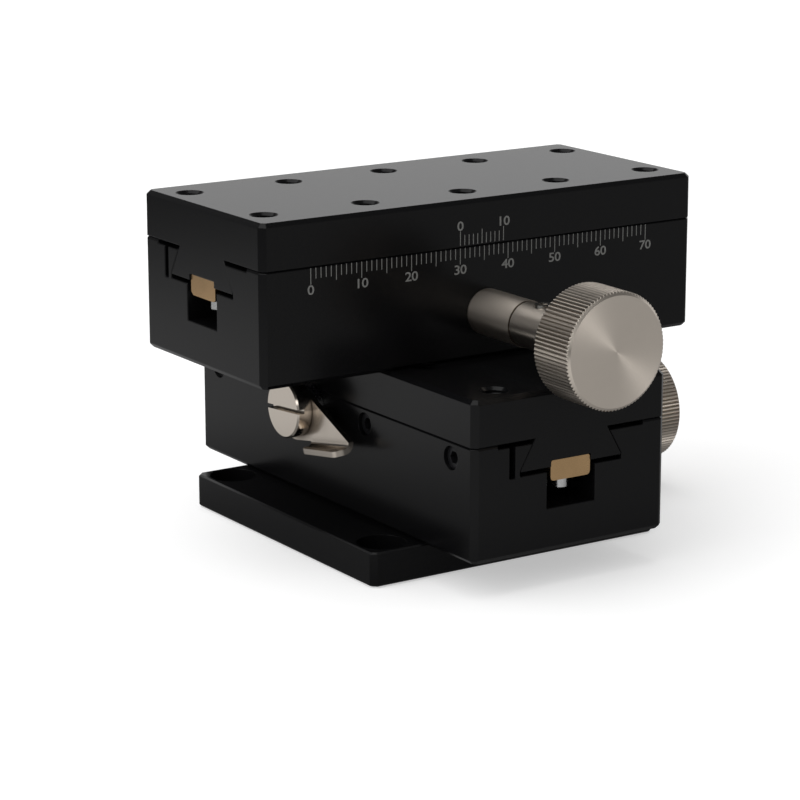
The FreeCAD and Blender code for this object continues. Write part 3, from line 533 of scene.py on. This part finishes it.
class StageHoles(bpy.types.PropertyGroup):
    """Sizes of the tapped holes and the screws under the base plate."""
    columns: IntProperty(name="Columns", description="Tapped holes along a table", min=1, default=5)
    column_pitch: in_mm("Column pitch", 20.0, "Distance of the columns")
    row_pitch: in_mm("Row distance", 25.0, "Distance of the two rows")
    thread_radius: in_mm("Thread radius", 2.0, "Outer radius of the M4 thread")
    core_radius: in_mm("Core radius", 1.65, "Inner radius of the M4 thread")
    thread_pitch: in_mm("Thread pitch", 0.7, "Rise of one turn")
    mouth_radius: in_mm("Mouth radius", 2.5, "Radius of the countersunk mouths")
    screw_head_radius: in_mm("Screw head radius", 3.75, "Radius of the screws under the base plate")
    screw_length: in_mm("Screw length", 3.0, "Height of the ends of these screws")
    socket_radius: in_mm("Socket radius", 1.25, "Half width of their sockets")
    screw_place_along: in_mm("Screw distance along", 28.0, "Distance along the lower body")
    screw_place_across: in_mm("Screw distance across", 20.0, "Distance across the lower body")


class StageKnob(bpy.types.PropertyGroup):
    """Sizes of the knurled knobs."""
    hub_radius: in_mm("Hub radius", 4.0, "Radius of the hub")
    hub_edge: in_mm("Hub edge", 0.25, "Chamfer at the start of the hub")
    hub_flare: in_mm("Hub flare", 0.3, "Flare of the hub where it meets the disc")
    bore_radius: in_mm("Bore radius", 2.52, "Radius of the bore for the shaft")
    width: in_mm("Width", 9.5, "Width of the knurled disc")
    grooves: IntProperty(name="Grooves", description="Grooves of the knurl", min=12, default=90)
    groove_depth: in_mm("Groove depth", 0.25, "Depth of a groove")
    groove_angle: in_degrees("Groove angle", 48.0, "Half angle between a groove's flanks")
    edge: in_mm("Edge", 0.62, "Chamfer round the face")
    back_edge: in_mm("Back edge", 0.45, "Chamfer at the hub's side")


class StageLever(bpy.types.PropertyGroup):
    """Flat pattern and fold of the lock levers, measured from the pivot."""
    tilt: in_degrees("Tilt", 10.0, "Slope of the fold")
    taper: in_degrees("Taper", 33.0, "Angle between the upper edge and the fold")
    thickness: in_mm("Thickness", 1.0, "Thickness of the sheet")
    rim: in_mm("Rim", 0.1, "Broken edges of the sheet")
    hole_radius: in_mm("Hole radius", 2.05, "Radius of the hole for the screw")
    end_radius: in_mm("End radius", 5.2, "Radius of the rounded end")
    end_back: in_mm("End back", 0.8, "Middle of the rounded end behind the pivot")
    end_drop: in_mm("End drop", 0.8, "Middle of the rounded end below the pivot")
    edge_length: in_mm("Edge length", 17.1, "Length of the straight upper edge")
    tab_start: in_mm("Tab start", 3.9, "Start of the finger tab along the fold")
    tab_length: in_mm("Tab length", 12.0, "Length of the tab along the fold")
    tab_depth: in_mm("Tab depth", 4.0, "Unrolled depth of the tab")
    tab_corner: in_mm("Tab corner", 1.0, "Radius of the tab's corners")
    fold_radius: in_mm("Fold radius", 0.8, "Inner radius of the fold")
    fold_angle: in_degrees("Fold angle", 84.0, "Angle of the fold")


class StageStudio(bpy.types.PropertyGroup):
    """Light and camera, and how bright the metal sees the floor and the sky."""
    lens: FloatProperty(name="Lens", description="Focal length", subtype="DISTANCE_CAMERA",
                        default=128.63)
    sky: as_factor("Sky", 0.45, "Strength of the even light")
    upper_light: as_factor("Upper light", 1.0, "Strength of the light from above")
    left_light: as_factor("Left light", 0.8, "Strength of the light from the left")
    fan_light: as_factor("Fan light", 0.3, "Strength of the narrow light on the knob")
    floor_glow: as_share("Floor glow", 0.45, "Share of the floor's white that no shadow darkens")
    high_sky: as_share("High sky", 0.12, "Brightness of the sky high above")
    low_sky: as_share("Low sky", 0.78, "Brightness of the low sky at the back")
    side_sky: as_share("Side sky", 0.32, "Brightness of the low sky elsewhere")
    dark_side: as_share("Dark side", 0.15, "Share of that brightness at the back on the left")
    front_shine: as_share("Front floor", 0.34, "Brightness of the floor in front")
    back_shine: as_share("Back floor", 0.56, "Brightness of the floor on the left")
    # The floor's glow beside the stage is dimmed as painted shadow
    near_shine: as_share("Near floor", 0.3, "Share of that brightness right beside the stage")
    far_shine: as_share("Far floor", 0.08, "Brightness of the floor far away on the left")


class StageSettings(bpy.types.PropertyGroup):
    """All the settings of the stage."""
    finishes: PointerProperty(name="Finishes", description="Colours", type=StageFinishes)
    scales: PointerProperty(name="Scales", description="Engraved scales", type=StageScales)
    holes: PointerProperty(name="Holes", description="Tapped holes and screws", type=StageHoles)
    knob: PointerProperty(name="Knobs", description="Knurled knobs", type=StageKnob)
    lever: PointerProperty(name="Levers", description="Lock levers", type=StageLever)
    studio: PointerProperty(name="Studio", description="Light and camera", type=StageStudio)


# Trees for what repeats

def marks_tree():
    """Row of marks whose length depends on their number."""
    tree, given = new_tree("Scale marks", Int=["Count", "Long step"], Float=[
        "Pitch", "Gap", "Short", "Middle", "Long", "Direction", "Width", "Relief"])
    step = xyz_node(tree, X=given["Pitch"])
    line = output(tree, "GeometryNodeMeshLine", {"Count": given["Count"], "Offset": step}, mode="OFFSET")
    number = output(tree, "GeometryNodeInputIndex")
    fifth = math_node(tree, "COMPARE", math_node(tree, "MODULO", number, 5.0), 0.0, 0.1)
    tenth = math_node(tree, "COMPARE", math_node(tree, "MODULO", number, given["Long step"]), 0.0, 0.1)
    plain = mix_values(tree, fifth, given["Short"], given["Middle"])
    size = mix_values(tree, tenth, plain, given["Long"])
    middle = math_node(tree, "ADD", given["Gap"], math_node(tree, "MULTIPLY", size, 0.5))
    lift = xyz_node(tree, Y=math_node(tree, "MULTIPLY", middle, given["Direction"]))
    marks = output(tree, "GeometryNodeInstanceOnPoints", {
        "Points": output(tree, "GeometryNodeSetPosition", {"Geometry": line, "Offset": lift}),
        "Instance": output(tree, "GeometryNodeMeshCube", {"Size": (1.0, 1.0, 1.0)}),
        "Scale": xyz_node(tree, X=given["Width"], Y=size, Z=given["Relief"])})
    return end_tree(tree, marks, given["Material"])


def hole_grid(tree, given, rise):
    """Points of a grid of holes."""
    reach = math_node(tree, "MULTIPLY", given["Column pitch"],
                      math_node(tree, "SUBTRACT", given["Columns"], 1.0))
    grid = output(tree, "GeometryNodeMeshGrid", {
        "Size X": reach, "Size Y": given["Row pitch"],
        "Vertices X": given["Columns"], "Vertices Y": 2})
    return output(tree, "GeometryNodeSetPosition",
                  {"Geometry": grid, "Offset": xyz_node(tree, Z=rise)})


def countersinks_tree():
    """Plate with a grid of countersunk holes, the mouths up or, turned, down."""
    tree, given = new_tree("Countersunk holes", Geometry=["Plate"], Int=["Columns"], Float=[
        "Column pitch", "Row pitch", "Face", "Mouth radius", "Hole radius", "Hole depth", "Turn"])
    over = 0.1 * MM
    rim = math_node(tree, "ADD", given["Mouth radius"], over)
    cone = add_node(tree, "GeometryNodeMeshCone", {
        "Vertices": 48, "Radius Bottom": rim, "Radius Top": given["Hole radius"],
        "Depth": math_node(tree, "SUBTRACT", rim, given["Hole radius"])})
    bore = add_node(tree, "GeometryNodeExtrudeMesh", {
        "Mesh": cone.outputs["Mesh"], "Selection": cone.outputs["Top"],
        "Offset Scale": given["Hole depth"]}, mode="FACES")
    cutter = output(tree, "GeometryNodeTransform",
                    {"Geometry": bore.outputs["Mesh"], "Translation": (0.0, 0.0, -over)})
    spread = output(tree, "GeometryNodeInstanceOnPoints", {
        "Points": hole_grid(tree, given, given["Face"]), "Instance": cutter,
        "Rotation": xyz_node(tree, X=given["Turn"])})
    cutters = output(tree, "GeometryNodeRealizeInstances", {"Geometry": spread})
    cut = output(tree, "GeometryNodeMeshBoolean", {"Mesh 1": given["Plate"], "Mesh 2": cutters},
                 operation="DIFFERENCE", solver="EXACT")
    return end_tree(tree, cut, given["Material"])


def threads_tree():
    """Grid of threads that stand out of the walls of their holes."""
    tree, given = new_tree("Threads", Int=["Columns"], Float=[
        "Column pitch", "Row pitch", "Bottom", "Outer radius", "Core radius", "Pitch", "Height"])
    spiral = output(tree, "GeometryNodeCurveSpiral", {
        "Resolution": 20, "Rotations": math_node(tree, "DIVIDE", given["Height"], given["Pitch"]),
        "Start Radius": given["Outer radius"], "End Radius": given["Outer radius"],
        "Height": given["Height"]})
    upright = output(tree, "GeometryNodeSetCurveNormal", {"Curve": spiral}, mode="Z_UP")
    ridge = math_node(tree, "SUBTRACT", given["Outer radius"], given["Core radius"])
    section = output(tree, "GeometryNodeCurvePrimitiveCircle", {"Resolution": 4, "Radius": ridge},
                     mode="RADIUS")
    thread = output(tree, "GeometryNodeCurveToMesh", {"Curve": upright, "Profile Curve": section})
    spread = output(tree, "GeometryNodeInstanceOnPoints",
                    {"Points": hole_grid(tree, given, given["Bottom"]), "Instance": thread})
    return end_tree(tree, spread, given["Material"])


# Operators, one for each group of like pieces

class STAGE_OT_finishes(bpy.types.Operator):
    """Give every solid its finish"""
    bl_idname = "stage.finishes"
    bl_label = "Finishes"

    def execute(self, context):
        settings = context.scene.stage_settings.finishes
        finishes = {
            "anodised_black": black_anodised(settings),
            "brass": milled_metal("milled brass", settings.brass_colour, 0.3, stretch=(1, 1, 6)),
            "steel": milled_metal("bright steel", (0.75, 0.75, 0.75), 0.25),
            "black_steel": black_oxide(),
        }
        worn = milled_metal("worn black steel", (0.3, 0.29, 0.27), 0.3)
        for node, part in frame["nodes"].items():
            slot = slot_of(node)
            if node.endswith("knob_grub_screw"):
                finish = worn
            elif slot == "nickel":
                finish = nickel_for(node, settings.nickel_colour)
            else:
                finish = finishes[slot]
            part.data.materials.clear()
            part.data.materials.append(finish)
        return {"FINISHED"}


class STAGE_OT_bodies(bpy.types.Operator):
    """Bodies with the edges of their end faces eased"""
    bl_idname = "stage.bodies"
    bl_label = "Bodies with eased ends"

    def execute(self, context):
        width = context.scene.stage_settings.finishes.eased_edge
        for stage, group in STAGES.items():
            node = f"{stage}_body"
            mesh = slide_copy(node, stage)
            ease_ends(mesh, width)
            mesh.transform(slide_matrix(stage))
            replace_node(node, "eased", mesh, group["fixed"], crease=20.0)
        return {"FINISHED"}


class STAGE_OT_racks(bpy.types.Operator):
    """Racks with rounded corners at both ends"""
    bl_idname = "stage.racks"
    bl_label = "Racks"

    def execute(self, context):
        radius = context.scene.stage_settings.finishes.rack_corner
        for stage, group in STAGES.items():
            node = f"{stage}_rack"
            mesh = slide_copy(node, stage)
            break_edges(mesh, is_end_corner, radius, segments=5)
            mesh.transform(slide_matrix(stage))
            replace_node(node, "rounded", mesh, group["moving"], crease=25.0)
        return {"FINISHED"}


class STAGE_OT_tables(bpy.types.Operator):
    """Tables with countersunk, threaded holes"""
    bl_idname = "stage.tables"
    bl_label = "Tables with tapped holes"

    def execute(self, context):
        settings = context.scene.stage_settings
        holes = settings.holes
        bores = countersinks_tree()
        threads = threads_tree()
        overrun = 1.0 * MM
        thread_start = 0.4 * MM
        thread_end = 0.5 * MM
        for stage, group in STAGES.items():
            node = f"{stage}_table"
            finish = finish_of(node)
            top = slide_box(node, stage)[1].z
            depth = top - slide_box(f"{stage}_body", stage)[1].z
            grid = {"Columns": holes.columns, "Column pitch": holes.column_pitch,
                    "Row pitch": holes.row_pitch, "Material": finish}
            mesh = run_tree(bores, {
                **grid, "Face": top, "Mouth radius": holes.mouth_radius,
                "Hole radius": holes.thread_radius, "Hole depth": depth + overrun,
                "Turn": math.pi}, slide_copy(node, stage))
            ease_ends(mesh, settings.finishes.eased_edge)
            mesh.transform(slide_matrix(stage))
            replace_node(node, "tapped", mesh, group["moving"], crease=20.0)
            sink = holes.mouth_radius - holes.core_radius
            ridges = run_tree(threads, {
                **grid, "Bottom": top - depth + thread_start, "Outer radius": holes.thread_radius,
                "Core radius": holes.core_radius, "Pitch": holes.thread_pitch,
                "Height": depth - sink - thread_end})
            ridges.transform(slide_matrix(stage))
            shade(ridges, crease=50.0)
            add_piece(f"{stage}_table_threads", ridges, group["moving"], finish)
        return {"FINISHED"}


class STAGE_OT_base(bpy.types.Operator):
    """Base plate with the sunk screws that hold the lower body"""
    bl_idname = "stage.base"
    bl_label = "Base plate and its screws"

    def execute(self, context):
        holes = context.scene.stage_settings.holes
        play = 0.25 * MM
        mesh = run_tree(countersinks_tree(), {
            "Columns": 2, "Column pitch": holes.screw_place_across,
            "Row pitch": holes.screw_place_along, "Material": finish_of("base_plate"),
            "Face": 0.0, "Mouth radius": holes.screw_head_radius + play,
            "Hole radius": holes.thread_radius, "Hole depth": holes.screw_length,
            "Turn": 0.0}, merged_copy("base_plate"))
        replace_node("base_plate", "drilled", mesh, "base", crease=35.0)
        screws = bmesh.new()
        for side in (-0.5, 0.5):
            for end in (-0.5, 0.5):
                place = Vector((side * holes.screw_place_across, end * holes.screw_place_along, 0))
                add_sunk_screw(screws, place, holes)
        mesh = mesh_from(screws, "screws")
        shade(mesh, crease=35.0)
        add_piece("base_plate_sunk_screws", mesh, "base", black_oxide())
        return {"FINISHED"}


def add_sunk_screw(work, place, holes):
    """Countersunk screw head with a hexagon socket, seen from below."""
    sink = 0.2 * MM
    socket_depth = 1.8 * MM
    bottom = sink + socket_depth
    head = holes.screw_head_radius
    shank = holes.thread_radius
    socket = holes.socket_radius
    rows = [(0.0, bottom, False), (socket, bottom, True), (socket, sink, True), (head, sink, False),
            (shank, sink + head - shank, False), (shank, holes.screw_length, False)]
    columns = 36
    rings = []
    for radius, height, has_six_sides in rows:
        ring = []
        for column in range(columns):
            angle = 2 * math.pi * column / columns
            reach = radius
            if has_six_sides:
                reach /= math.cos((angle + math.pi / 6) % (math.pi / 3) - math.pi / 6)
            corner = Vector((reach * math.cos(angle), reach * math.sin(angle), height))
            ring.append(work.verts.new(place + corner))
        rings.append(ring)
    join_rings(work, rings)
    bmesh.ops.remove_doubles(work, verts=rings[0], dist=WELD)


class STAGE_OT_knobs(bpy.types.Operator):
    """Knobs with their knurl running out in the chamfers"""
    bl_idname = "stage.knobs"
    bl_label = "Knurled knobs"

    def execute(self, context):
        settings = context.scene.stage_settings
        nickel = scaled(settings.finishes.nickel_colour, settings.finishes.knob_shine)
        for stage, group in STAGES.items():
            node = f"{stage}_knob"
            low, high = slide_box(node, stage)
            mesh = knob_mesh(settings.knob, (high.z - low.z) / 2, high.y - low.y)
            matrix = knob_matrix(stage)
            mesh.transform(matrix)
            axis = matrix.to_3x3() @ Vector((0, 0, 1))
            finish = turned_metal(f"{node} turned nickel", nickel, 0.3, matrix.translation, axis,
                                  anisotropy=0.7)
            replace_node(node, "knurled", mesh, group["drive"], crease=30.0, material=finish)
        return {"FINISHED"}


def chamfer_rows(radius, edge, start, direction):
    """Rows of a knob's chamfer, from its small end to the full radius."""
    steps = 5
    slope = 0.8
    rows = []
    for step in range(steps + 1):
        rise = edge * step / steps
        rows.append((radius - edge + rise, start + direction * rise * slope, True))
    return rows


def knob_mesh(knob, radius, reach):
    """Hub and knurled disc, in the knob's frame."""
    hub = knob.hub_radius
    disc_start = reach - knob.width
    bore_depth = 4.0 * MM
    inset = 0.1 * MM
    rows = [(knob.bore_radius, bore_depth, False), (knob.bore_radius, 0.0, False),
            (hub - knob.hub_edge, 0.0, False), (hub, knob.hub_edge, False),
            (hub, disc_start - knob.hub_flare, False), (hub + knob.hub_flare, disc_start, False),
            (radius - knob.back_edge - inset, disc_start, False)]
    rows += chamfer_rows(radius, knob.back_edge, disc_start, 1.0)
    rows += reversed(chamfer_rows(radius, knob.edge, reach, -1.0))
    face = radius - knob.edge
    rows += [(ring, reach, False) for ring in (face * 0.97, face * 0.5, 0.2 * MM)]
    half_groove = knob.groove_depth * math.tan(knob.groove_angle) / radius
    pitch = 2 * math.pi / knob.grooves
    offsets = [-half_groove, -half_groove / 2, 0.0, half_groove / 2, half_groove, pitch / 2]
    work = bmesh.new()
    rings = []
    for row_radius, height, is_knurled in rows:
        ring = []
        for groove in range(knob.grooves):
            for offset in offsets:
                drop = max(0.0, 1.0 - abs(offset) / half_groove) * knob.groove_depth
                cut = min(row_radius, radius - drop) if is_knurled else row_radius
                angle = groove * pitch + offset
                ring.append(work.verts.new((cut * math.sin(angle), cut * math.cos(angle), height)))
        rings.append(ring)
    join_rings(work, rings)
    work.faces.new(rings[-1])
    work.faces.new(list(reversed(rings[0])))
    bmesh.ops.recalc_face_normals(work, faces=work.faces)
    return mesh_from(work, "knob")


class STAGE_OT_levers(bpy.types.Operator):
    """Lock levers, cut from sheet and folded"""
    bl_idname = "stage.levers"
    bl_label = "Lock levers"

    def execute(self, context):
        lever = context.scene.stage_settings.lever
        for stage in STAGES:
            mesh = lever_mesh(lever)
            mesh.transform(lever_matrix(stage, lever))
            replace_node(f"{stage}_lock_lever", "folded", mesh, f"{stage}_lock", crease=40.0)
        return {"FINISHED"}


def arc_points(centre, radius, start, end, steps):
    """Points on an arc between two angles in degrees."""
    points = []
    for step in range(steps + 1):
        angle = math.radians(start + (end - start) * step / steps)
        points.append(centre + radius * Vector((math.cos(angle), math.sin(angle))))
    return points


def lever_outline(lever):
    """Flat pattern of a lever: rounded end, upper edge, tip and the unrolled tab."""
    middle = Vector((-lever.end_back, -lever.end_drop))
    fold = middle.y - lever.end_radius
    corner = lever.tab_corner
    low = fold - lever.tab_depth
    tab_end = lever.tab_start + lever.tab_length
    far_corner = Vector((tab_end - corner, low + corner))
    near_corner = Vector((lever.tab_start + corner, low + 1.5 * corner))
    upper_edge = Vector((math.cos(lever.taper), -math.sin(lever.taper)))
    points = arc_points(middle, lever.end_radius, -90.0, -270.0 - math.degrees(lever.taper), steps=32)
    points.append(points[-1] + lever.edge_length * upper_edge)
    points += arc_points(far_corner, corner, -25.0, -90.0, steps=5)
    points += arc_points(near_corner, corner, -90.0, -180.0, steps=5)
    points.append(Vector((lever.tab_start, fold)))
    return points, fold


def lever_mesh(lever):
    """Sheet lever, cut out flat, given its thickness and folded outwards."""
    points, fold = lever_outline(lever)
    work = bmesh.new()
    add_loop(work, points)
    add_loop(work, arc_points(Vector((0, 0)), lever.hole_radius, 0.0, 350.0, steps=35))
    bmesh.ops.triangle_fill(work, edges=work.edges, use_beauty=True)
    steps = 8
    for step in range(steps + 1):
        height = fold - neutral_radius(lever) * lever.fold_angle * step / steps
        bmesh.ops.bisect_plane(work, geom=[*work.verts, *work.edges, *work.faces],
                               plane_co=(0, height, 0), plane_no=(0, 1, 0))
    front = bmesh.ops.extrude_face_region(work, geom=work.faces[:])["geom"]
    for vertex in front:
        if isinstance(vertex, bmesh.types.BMVert):
            vertex.co.z = lever.thickness
    for vertex in work.verts:
        if vertex.co.y < fold:
            vertex.co.yz = folded(fold - vertex.co.y, vertex.co.z, fold, lever)
    bmesh.ops.recalc_face_normals(work, faces=work.faces)
    rims = [edge for edge in work.edges if edge.calc_face_angle(0.0) > SHARP]
    bevel_edges(work, rims, lever.rim, segments=2)
    return mesh_from(work, "lever")


def add_loop(work, points):
    """Closed loop of edges in a flat pattern."""
    verts = [work.verts.new((point.x, point.y, 0)) for point in points]
    for first, second in zip(verts, verts[1:] + verts[:1]):
        work.edges.new((first, second))


def neutral_radius(lever):
    """Radius at which the fold neither stretches nor presses the sheet."""
    return lever.fold_radius + 0.5 * lever.thickness


def folded(unrolled, height, fold, lever):
    """Height and reach of a point of the tab at an unrolled length from the fold."""
    neutral = neutral_radius(lever)
    outer = lever.fold_radius + lever.thickness
    angle = min(unrolled / neutral, lever.fold_angle)
    straight = max(0.0, unrolled - neutral * lever.fold_angle)
    radius = outer - height
    return (fold - radius * math.sin(angle) - straight * math.cos(angle),
            outer - radius * math.cos(angle) + straight * math.sin(angle))


class STAGE_OT_scales(bpy.types.Operator):
    """Engraved millimetre scales on the bodies and verniers on the tables"""
    bl_idname = "stage.scales"
    bl_label = "Scales and verniers"

    def execute(self, context):
        settings = context.scene.stage_settings.scales
        paint = white_filling(context.scene.stage_settings.finishes.mark_colour)
        tree = marks_tree()
        numbered = 10
        both = {"Short": settings.short_mark, "Middle": settings.middle_mark,
                "Long step": numbered, "Width": settings.mark_width, "Relief": settings.relief,
                "Material": paint}
        main = {**both, "Count": settings.divisions + 1, "Pitch": settings.division,
                "Gap": settings.main_gap, "Direction": -1.0, "Long": settings.long_mark}
        vernier = {**both, "Count": numbered + 1, "Pitch": settings.vernier_division,
                   "Gap": settings.vernier_gap, "Direction": 1.0, "Long": settings.middle_mark}
        rows = (("scale", main, "fixed", settings.divisions), ("vernier", vernier, "moving", numbered))
        for stage, group in STAGES.items():
            for ending, values, side, span in rows:
                start = settings.offset - span * settings.division / 2
                mesh = join_meshes(scale_meshes(tree, settings, values, start))
                mesh.transform(front_face(stage))
                add_piece(f"{stage}_{ending}", mesh, group[side], paint)
        return {"FINISHED"}


def scale_meshes(tree, settings, values, start):
    """Marks and numerals of one scale, flat in x and y, from its first mark."""
    marks = run_tree(tree, values)
    marks.transform(Matrix.Translation((start, 0, 0)))
    meshes = [marks]
    reach = values["Gap"] + values["Long"] + settings.numeral_gap
    low = reach if values["Direction"] > 0 else -reach - settings.numeral_height
    for number in range(0, values["Count"], values["Long step"]):
        numeral = numeral_mesh(str(number), settings)
        numeral.transform(Matrix.Translation((start + number * values["Pitch"], low, 0)))
        meshes.append(numeral)
    return meshes


def numeral_mesh(text, settings):
    """Numeral of a given height, centred on x, standing on y = 0."""
    curve = bpy.data.curves.new("numeral", "FONT")
    curve.body = text
    curve.align_x = "CENTER"
    digit_share = 0.7
    curve.size = settings.numeral_height / digit_share
    curve.space_character = 0.95
    curve.offset = 0.03 * MM
    curve.extrude = settings.relief / 2
    curve.resolution_u = 3
    mesh = evaluated_mesh(add_object("numeral", curve))
    heights = [vertex.co.y for vertex in mesh.vertices]
    scale = settings.numeral_height / (max(heights) - min(heights))
    size = Matrix.Diagonal((scale * settings.numeral_width, scale, 1, 1))
    mesh.transform(size @ Matrix.Translation((0, -min(heights), 0)))
    return mesh


class STAGE_OT_studio(bpy.types.Operator):
    """Floor, light and camera"""
    bl_idname = "stage.studio"
    bl_label = "Studio"

    def execute(self, context):
        studio = context.scene.stage_settings.studio
        make_floor(studio)
        make_sky(studio)
        add_light("upper light", (-0.3, 0.2, 1.0), 60.0, studio.upper_light)
        add_light("left light", (-1.0, -0.1, 0.5), 50.0, studio.left_light)
        fan = add_light("fan light", (0.228, -0.967, 0.118), 6.0, studio.fan_light)
        fan.visible_diffuse = False
        make_camera(studio)
        context.scene.view_settings.view_transform = "Standard"
        return {"FINISHED"}


def make_floor(studio):
    """Pale floor that shows plain white to the camera and keeps the shadow."""
    mesh = bpy.data.meshes.new("floor")
    reach = 3.0
    height = -0.2 * MM
    sides = ((-reach, -reach), (reach, -reach), (reach, reach), (-reach, reach))
    mesh.from_pydata([(x, y, height) for x, y in sides], [], [(0, 1, 2, 3)])
    floor = add_object("floor", mesh)
    material, tree, shader = start_material("pale floor", (0.8, 0.8, 0.8), 0.0, 0.9)
    shader.inputs["Specular IOR Level"].default_value = 0.0
    path = add_node(tree, "ShaderNodeLightPath").outputs
    level = math_node(tree, "MULTIPLY", path["Is Camera Ray"], studio.floor_glow)
    glow = output(tree, "ShaderNodeEmission", {"Strength": level})
    lit = output(tree, "ShaderNodeAddShader", {0: shader.outputs[0], 1: glow})
    # Metal sees a painted glow on the floor in place of the lit floor
    shine = output(tree, "ShaderNodeEmission", {"Strength": mirrored_floor(tree, studio)})
    seen = output(tree, "ShaderNodeMixShader", {0: path["Is Glossy Ray"], 1: lit, 2: shine})
    tree.links.new(seen, tree.nodes["Material Output"].inputs["Surface"])
    mesh.materials.append(material)


def mirrored_floor(tree, studio):
    """Brightness of the painted glow on the floor that only the metal sees: dark near the stage as
    painted shadow, and dark far from it.
    """
    place = add_node(tree, "ShaderNodeTexCoord").outputs["Object"]
    right = add_node(tree, "ShaderNodeSeparateXYZ", {"Vector": place}).outputs["X"]
    reach = vector_node(tree, "LENGTH", place)["Value"]
    # Painted shadow: the glow fades right beside the stage
    near = map_range(tree, reach, (0.03, 0.11), (studio.near_shine, 1.0),
                     interpolation_type="SMOOTHSTEP")
    back = map_range(tree, reach, (0.18, 0.38), (studio.back_shine, studio.far_shine),
                     interpolation_type="SMOOTHSTEP")
    side = map_range(tree, right, (0.05, -0.05), (studio.front_shine, back))
    return math_node(tree, "MULTIPLY", side, near)


def make_sky(studio):
    """Even light, white to the camera and uneven to the metal."""
    world = bpy.data.worlds.new("studio")
    world.use_nodes = True
    bpy.context.scene.world = world
    tree = world.node_tree
    ground = tree.nodes["Background"]
    ground.inputs["Color"].default_value = (1.0, 1.0, 1.0, 1.0)
    path = add_node(tree, "ShaderNodeLightPath").outputs
    direction = add_node(tree, "ShaderNodeTexCoord").outputs["Generated"]
    height = add_node(tree, "ShaderNodeSeparateXYZ", {"Vector": direction}).outputs["Z"]
    back = vector_node(tree, "DOT_PRODUCT", direction, (0.55, 0.83, 0.0))["Value"]
    left = vector_node(tree, "DOT_PRODUCT", direction, (-0.83, 0.55, 0.0))["Value"]
    low = math_node(tree, "MULTIPLY",
                    map_range(tree, back, (0.4, 0.8), (studio.side_sky, studio.low_sky)),
                    map_range(tree, left, (0.3, 0.8), (1.0, studio.dark_side)))
    mirrored = map_range(tree, height, (0.27, 0.5), (low, studio.high_sky))
    clear = math_node(tree, "MAXIMUM", path["Is Camera Ray"], path["Is Transmission Ray"])
    level = mix_values(tree, path["Is Glossy Ray"], studio.sky, mirrored)
    tree.links.new(mix_values(tree, clear, level, 1.0), ground.inputs["Strength"])


def add_light(name, source, spread, energy):
    """Even light that shines from the side of a point, its spread in degrees."""
    lamp = bpy.data.lights.new(name, "SUN")
    lamp.energy = energy
    lamp.angle = math.radians(spread)
    light = add_object(name, lamp)
    light.rotation_mode = "QUATERNION"
    light.rotation_quaternion = (-Vector(source)).to_track_quat("-Z", "Y")
    return light


def make_camera(studio):
    """Camera that sees the stage as the photograph does."""
    data = bpy.data.cameras.new("camera")
    data.lens = studio.lens
    data.sensor_width = 36.0
    data.clip_start = 0.01
    camera = add_object("camera", data)
    place = Vector((-0.2778, -0.4144, 0.1492))
    forward = Vector((0.5332, 0.8092, -0.2470)).normalized()
    right = Vector((0.8349, -0.5504, -0.0009)).normalized()
    up = right.cross(forward).normalized()
    axes = Matrix((forward.cross(up), up, -forward)).transposed().to_4x4()
    camera.matrix_world = Matrix.Translation(place) @ axes
    bpy.context.scene.camera = camera


class STAGE_PT_panel(bpy.types.Panel):
    """Sidebar panel with the steps of the stage"""
    bl_idname = "STAGE_PT_panel"
    bl_label = "XY translation stage"
    bl_space_type = "VIEW_3D"
    bl_region_type = "UI"
    bl_category = "Stage"

    def draw(self, context):
        for operator in OPERATORS:
            self.layout.operator(operator.bl_idname)


OPERATORS = (STAGE_OT_finishes, STAGE_OT_bodies, STAGE_OT_racks, STAGE_OT_tables, STAGE_OT_base,
             STAGE_OT_knobs, STAGE_OT_levers, STAGE_OT_scales, STAGE_OT_studio)

CLASSES = (StageFinishes, StageScales, StageHoles, StageKnob, StageLever, StageStudio, StageSettings,
           *OPERATORS, STAGE_PT_panel)


def register():
    """Register the classes and the scene's settings."""
    for item in CLASSES:
        bpy.utils.register_class(item)
    bpy.types.Scene.stage_settings = PointerProperty(type=StageSettings)


def unregister():
    """Take the classes and the settings away."""
    del bpy.types.Scene.stage_settings
    for item in reversed(CLASSES):
        bpy.utils.unregister_class(item)


def build_stage():
    """Make the whole scene, one operator after another."""
    register()
    bpy.ops.stage.finishes()
    bpy.ops.stage.bodies()
    bpy.ops.stage.racks()
    bpy.ops.stage.tables()
    bpy.ops.stage.base()
    bpy.ops.stage.knobs()
    bpy.ops.stage.levers()
    bpy.ops.stage.scales()
    bpy.ops.stage.studio()


if __name__ == "__main__":
    build_stage()
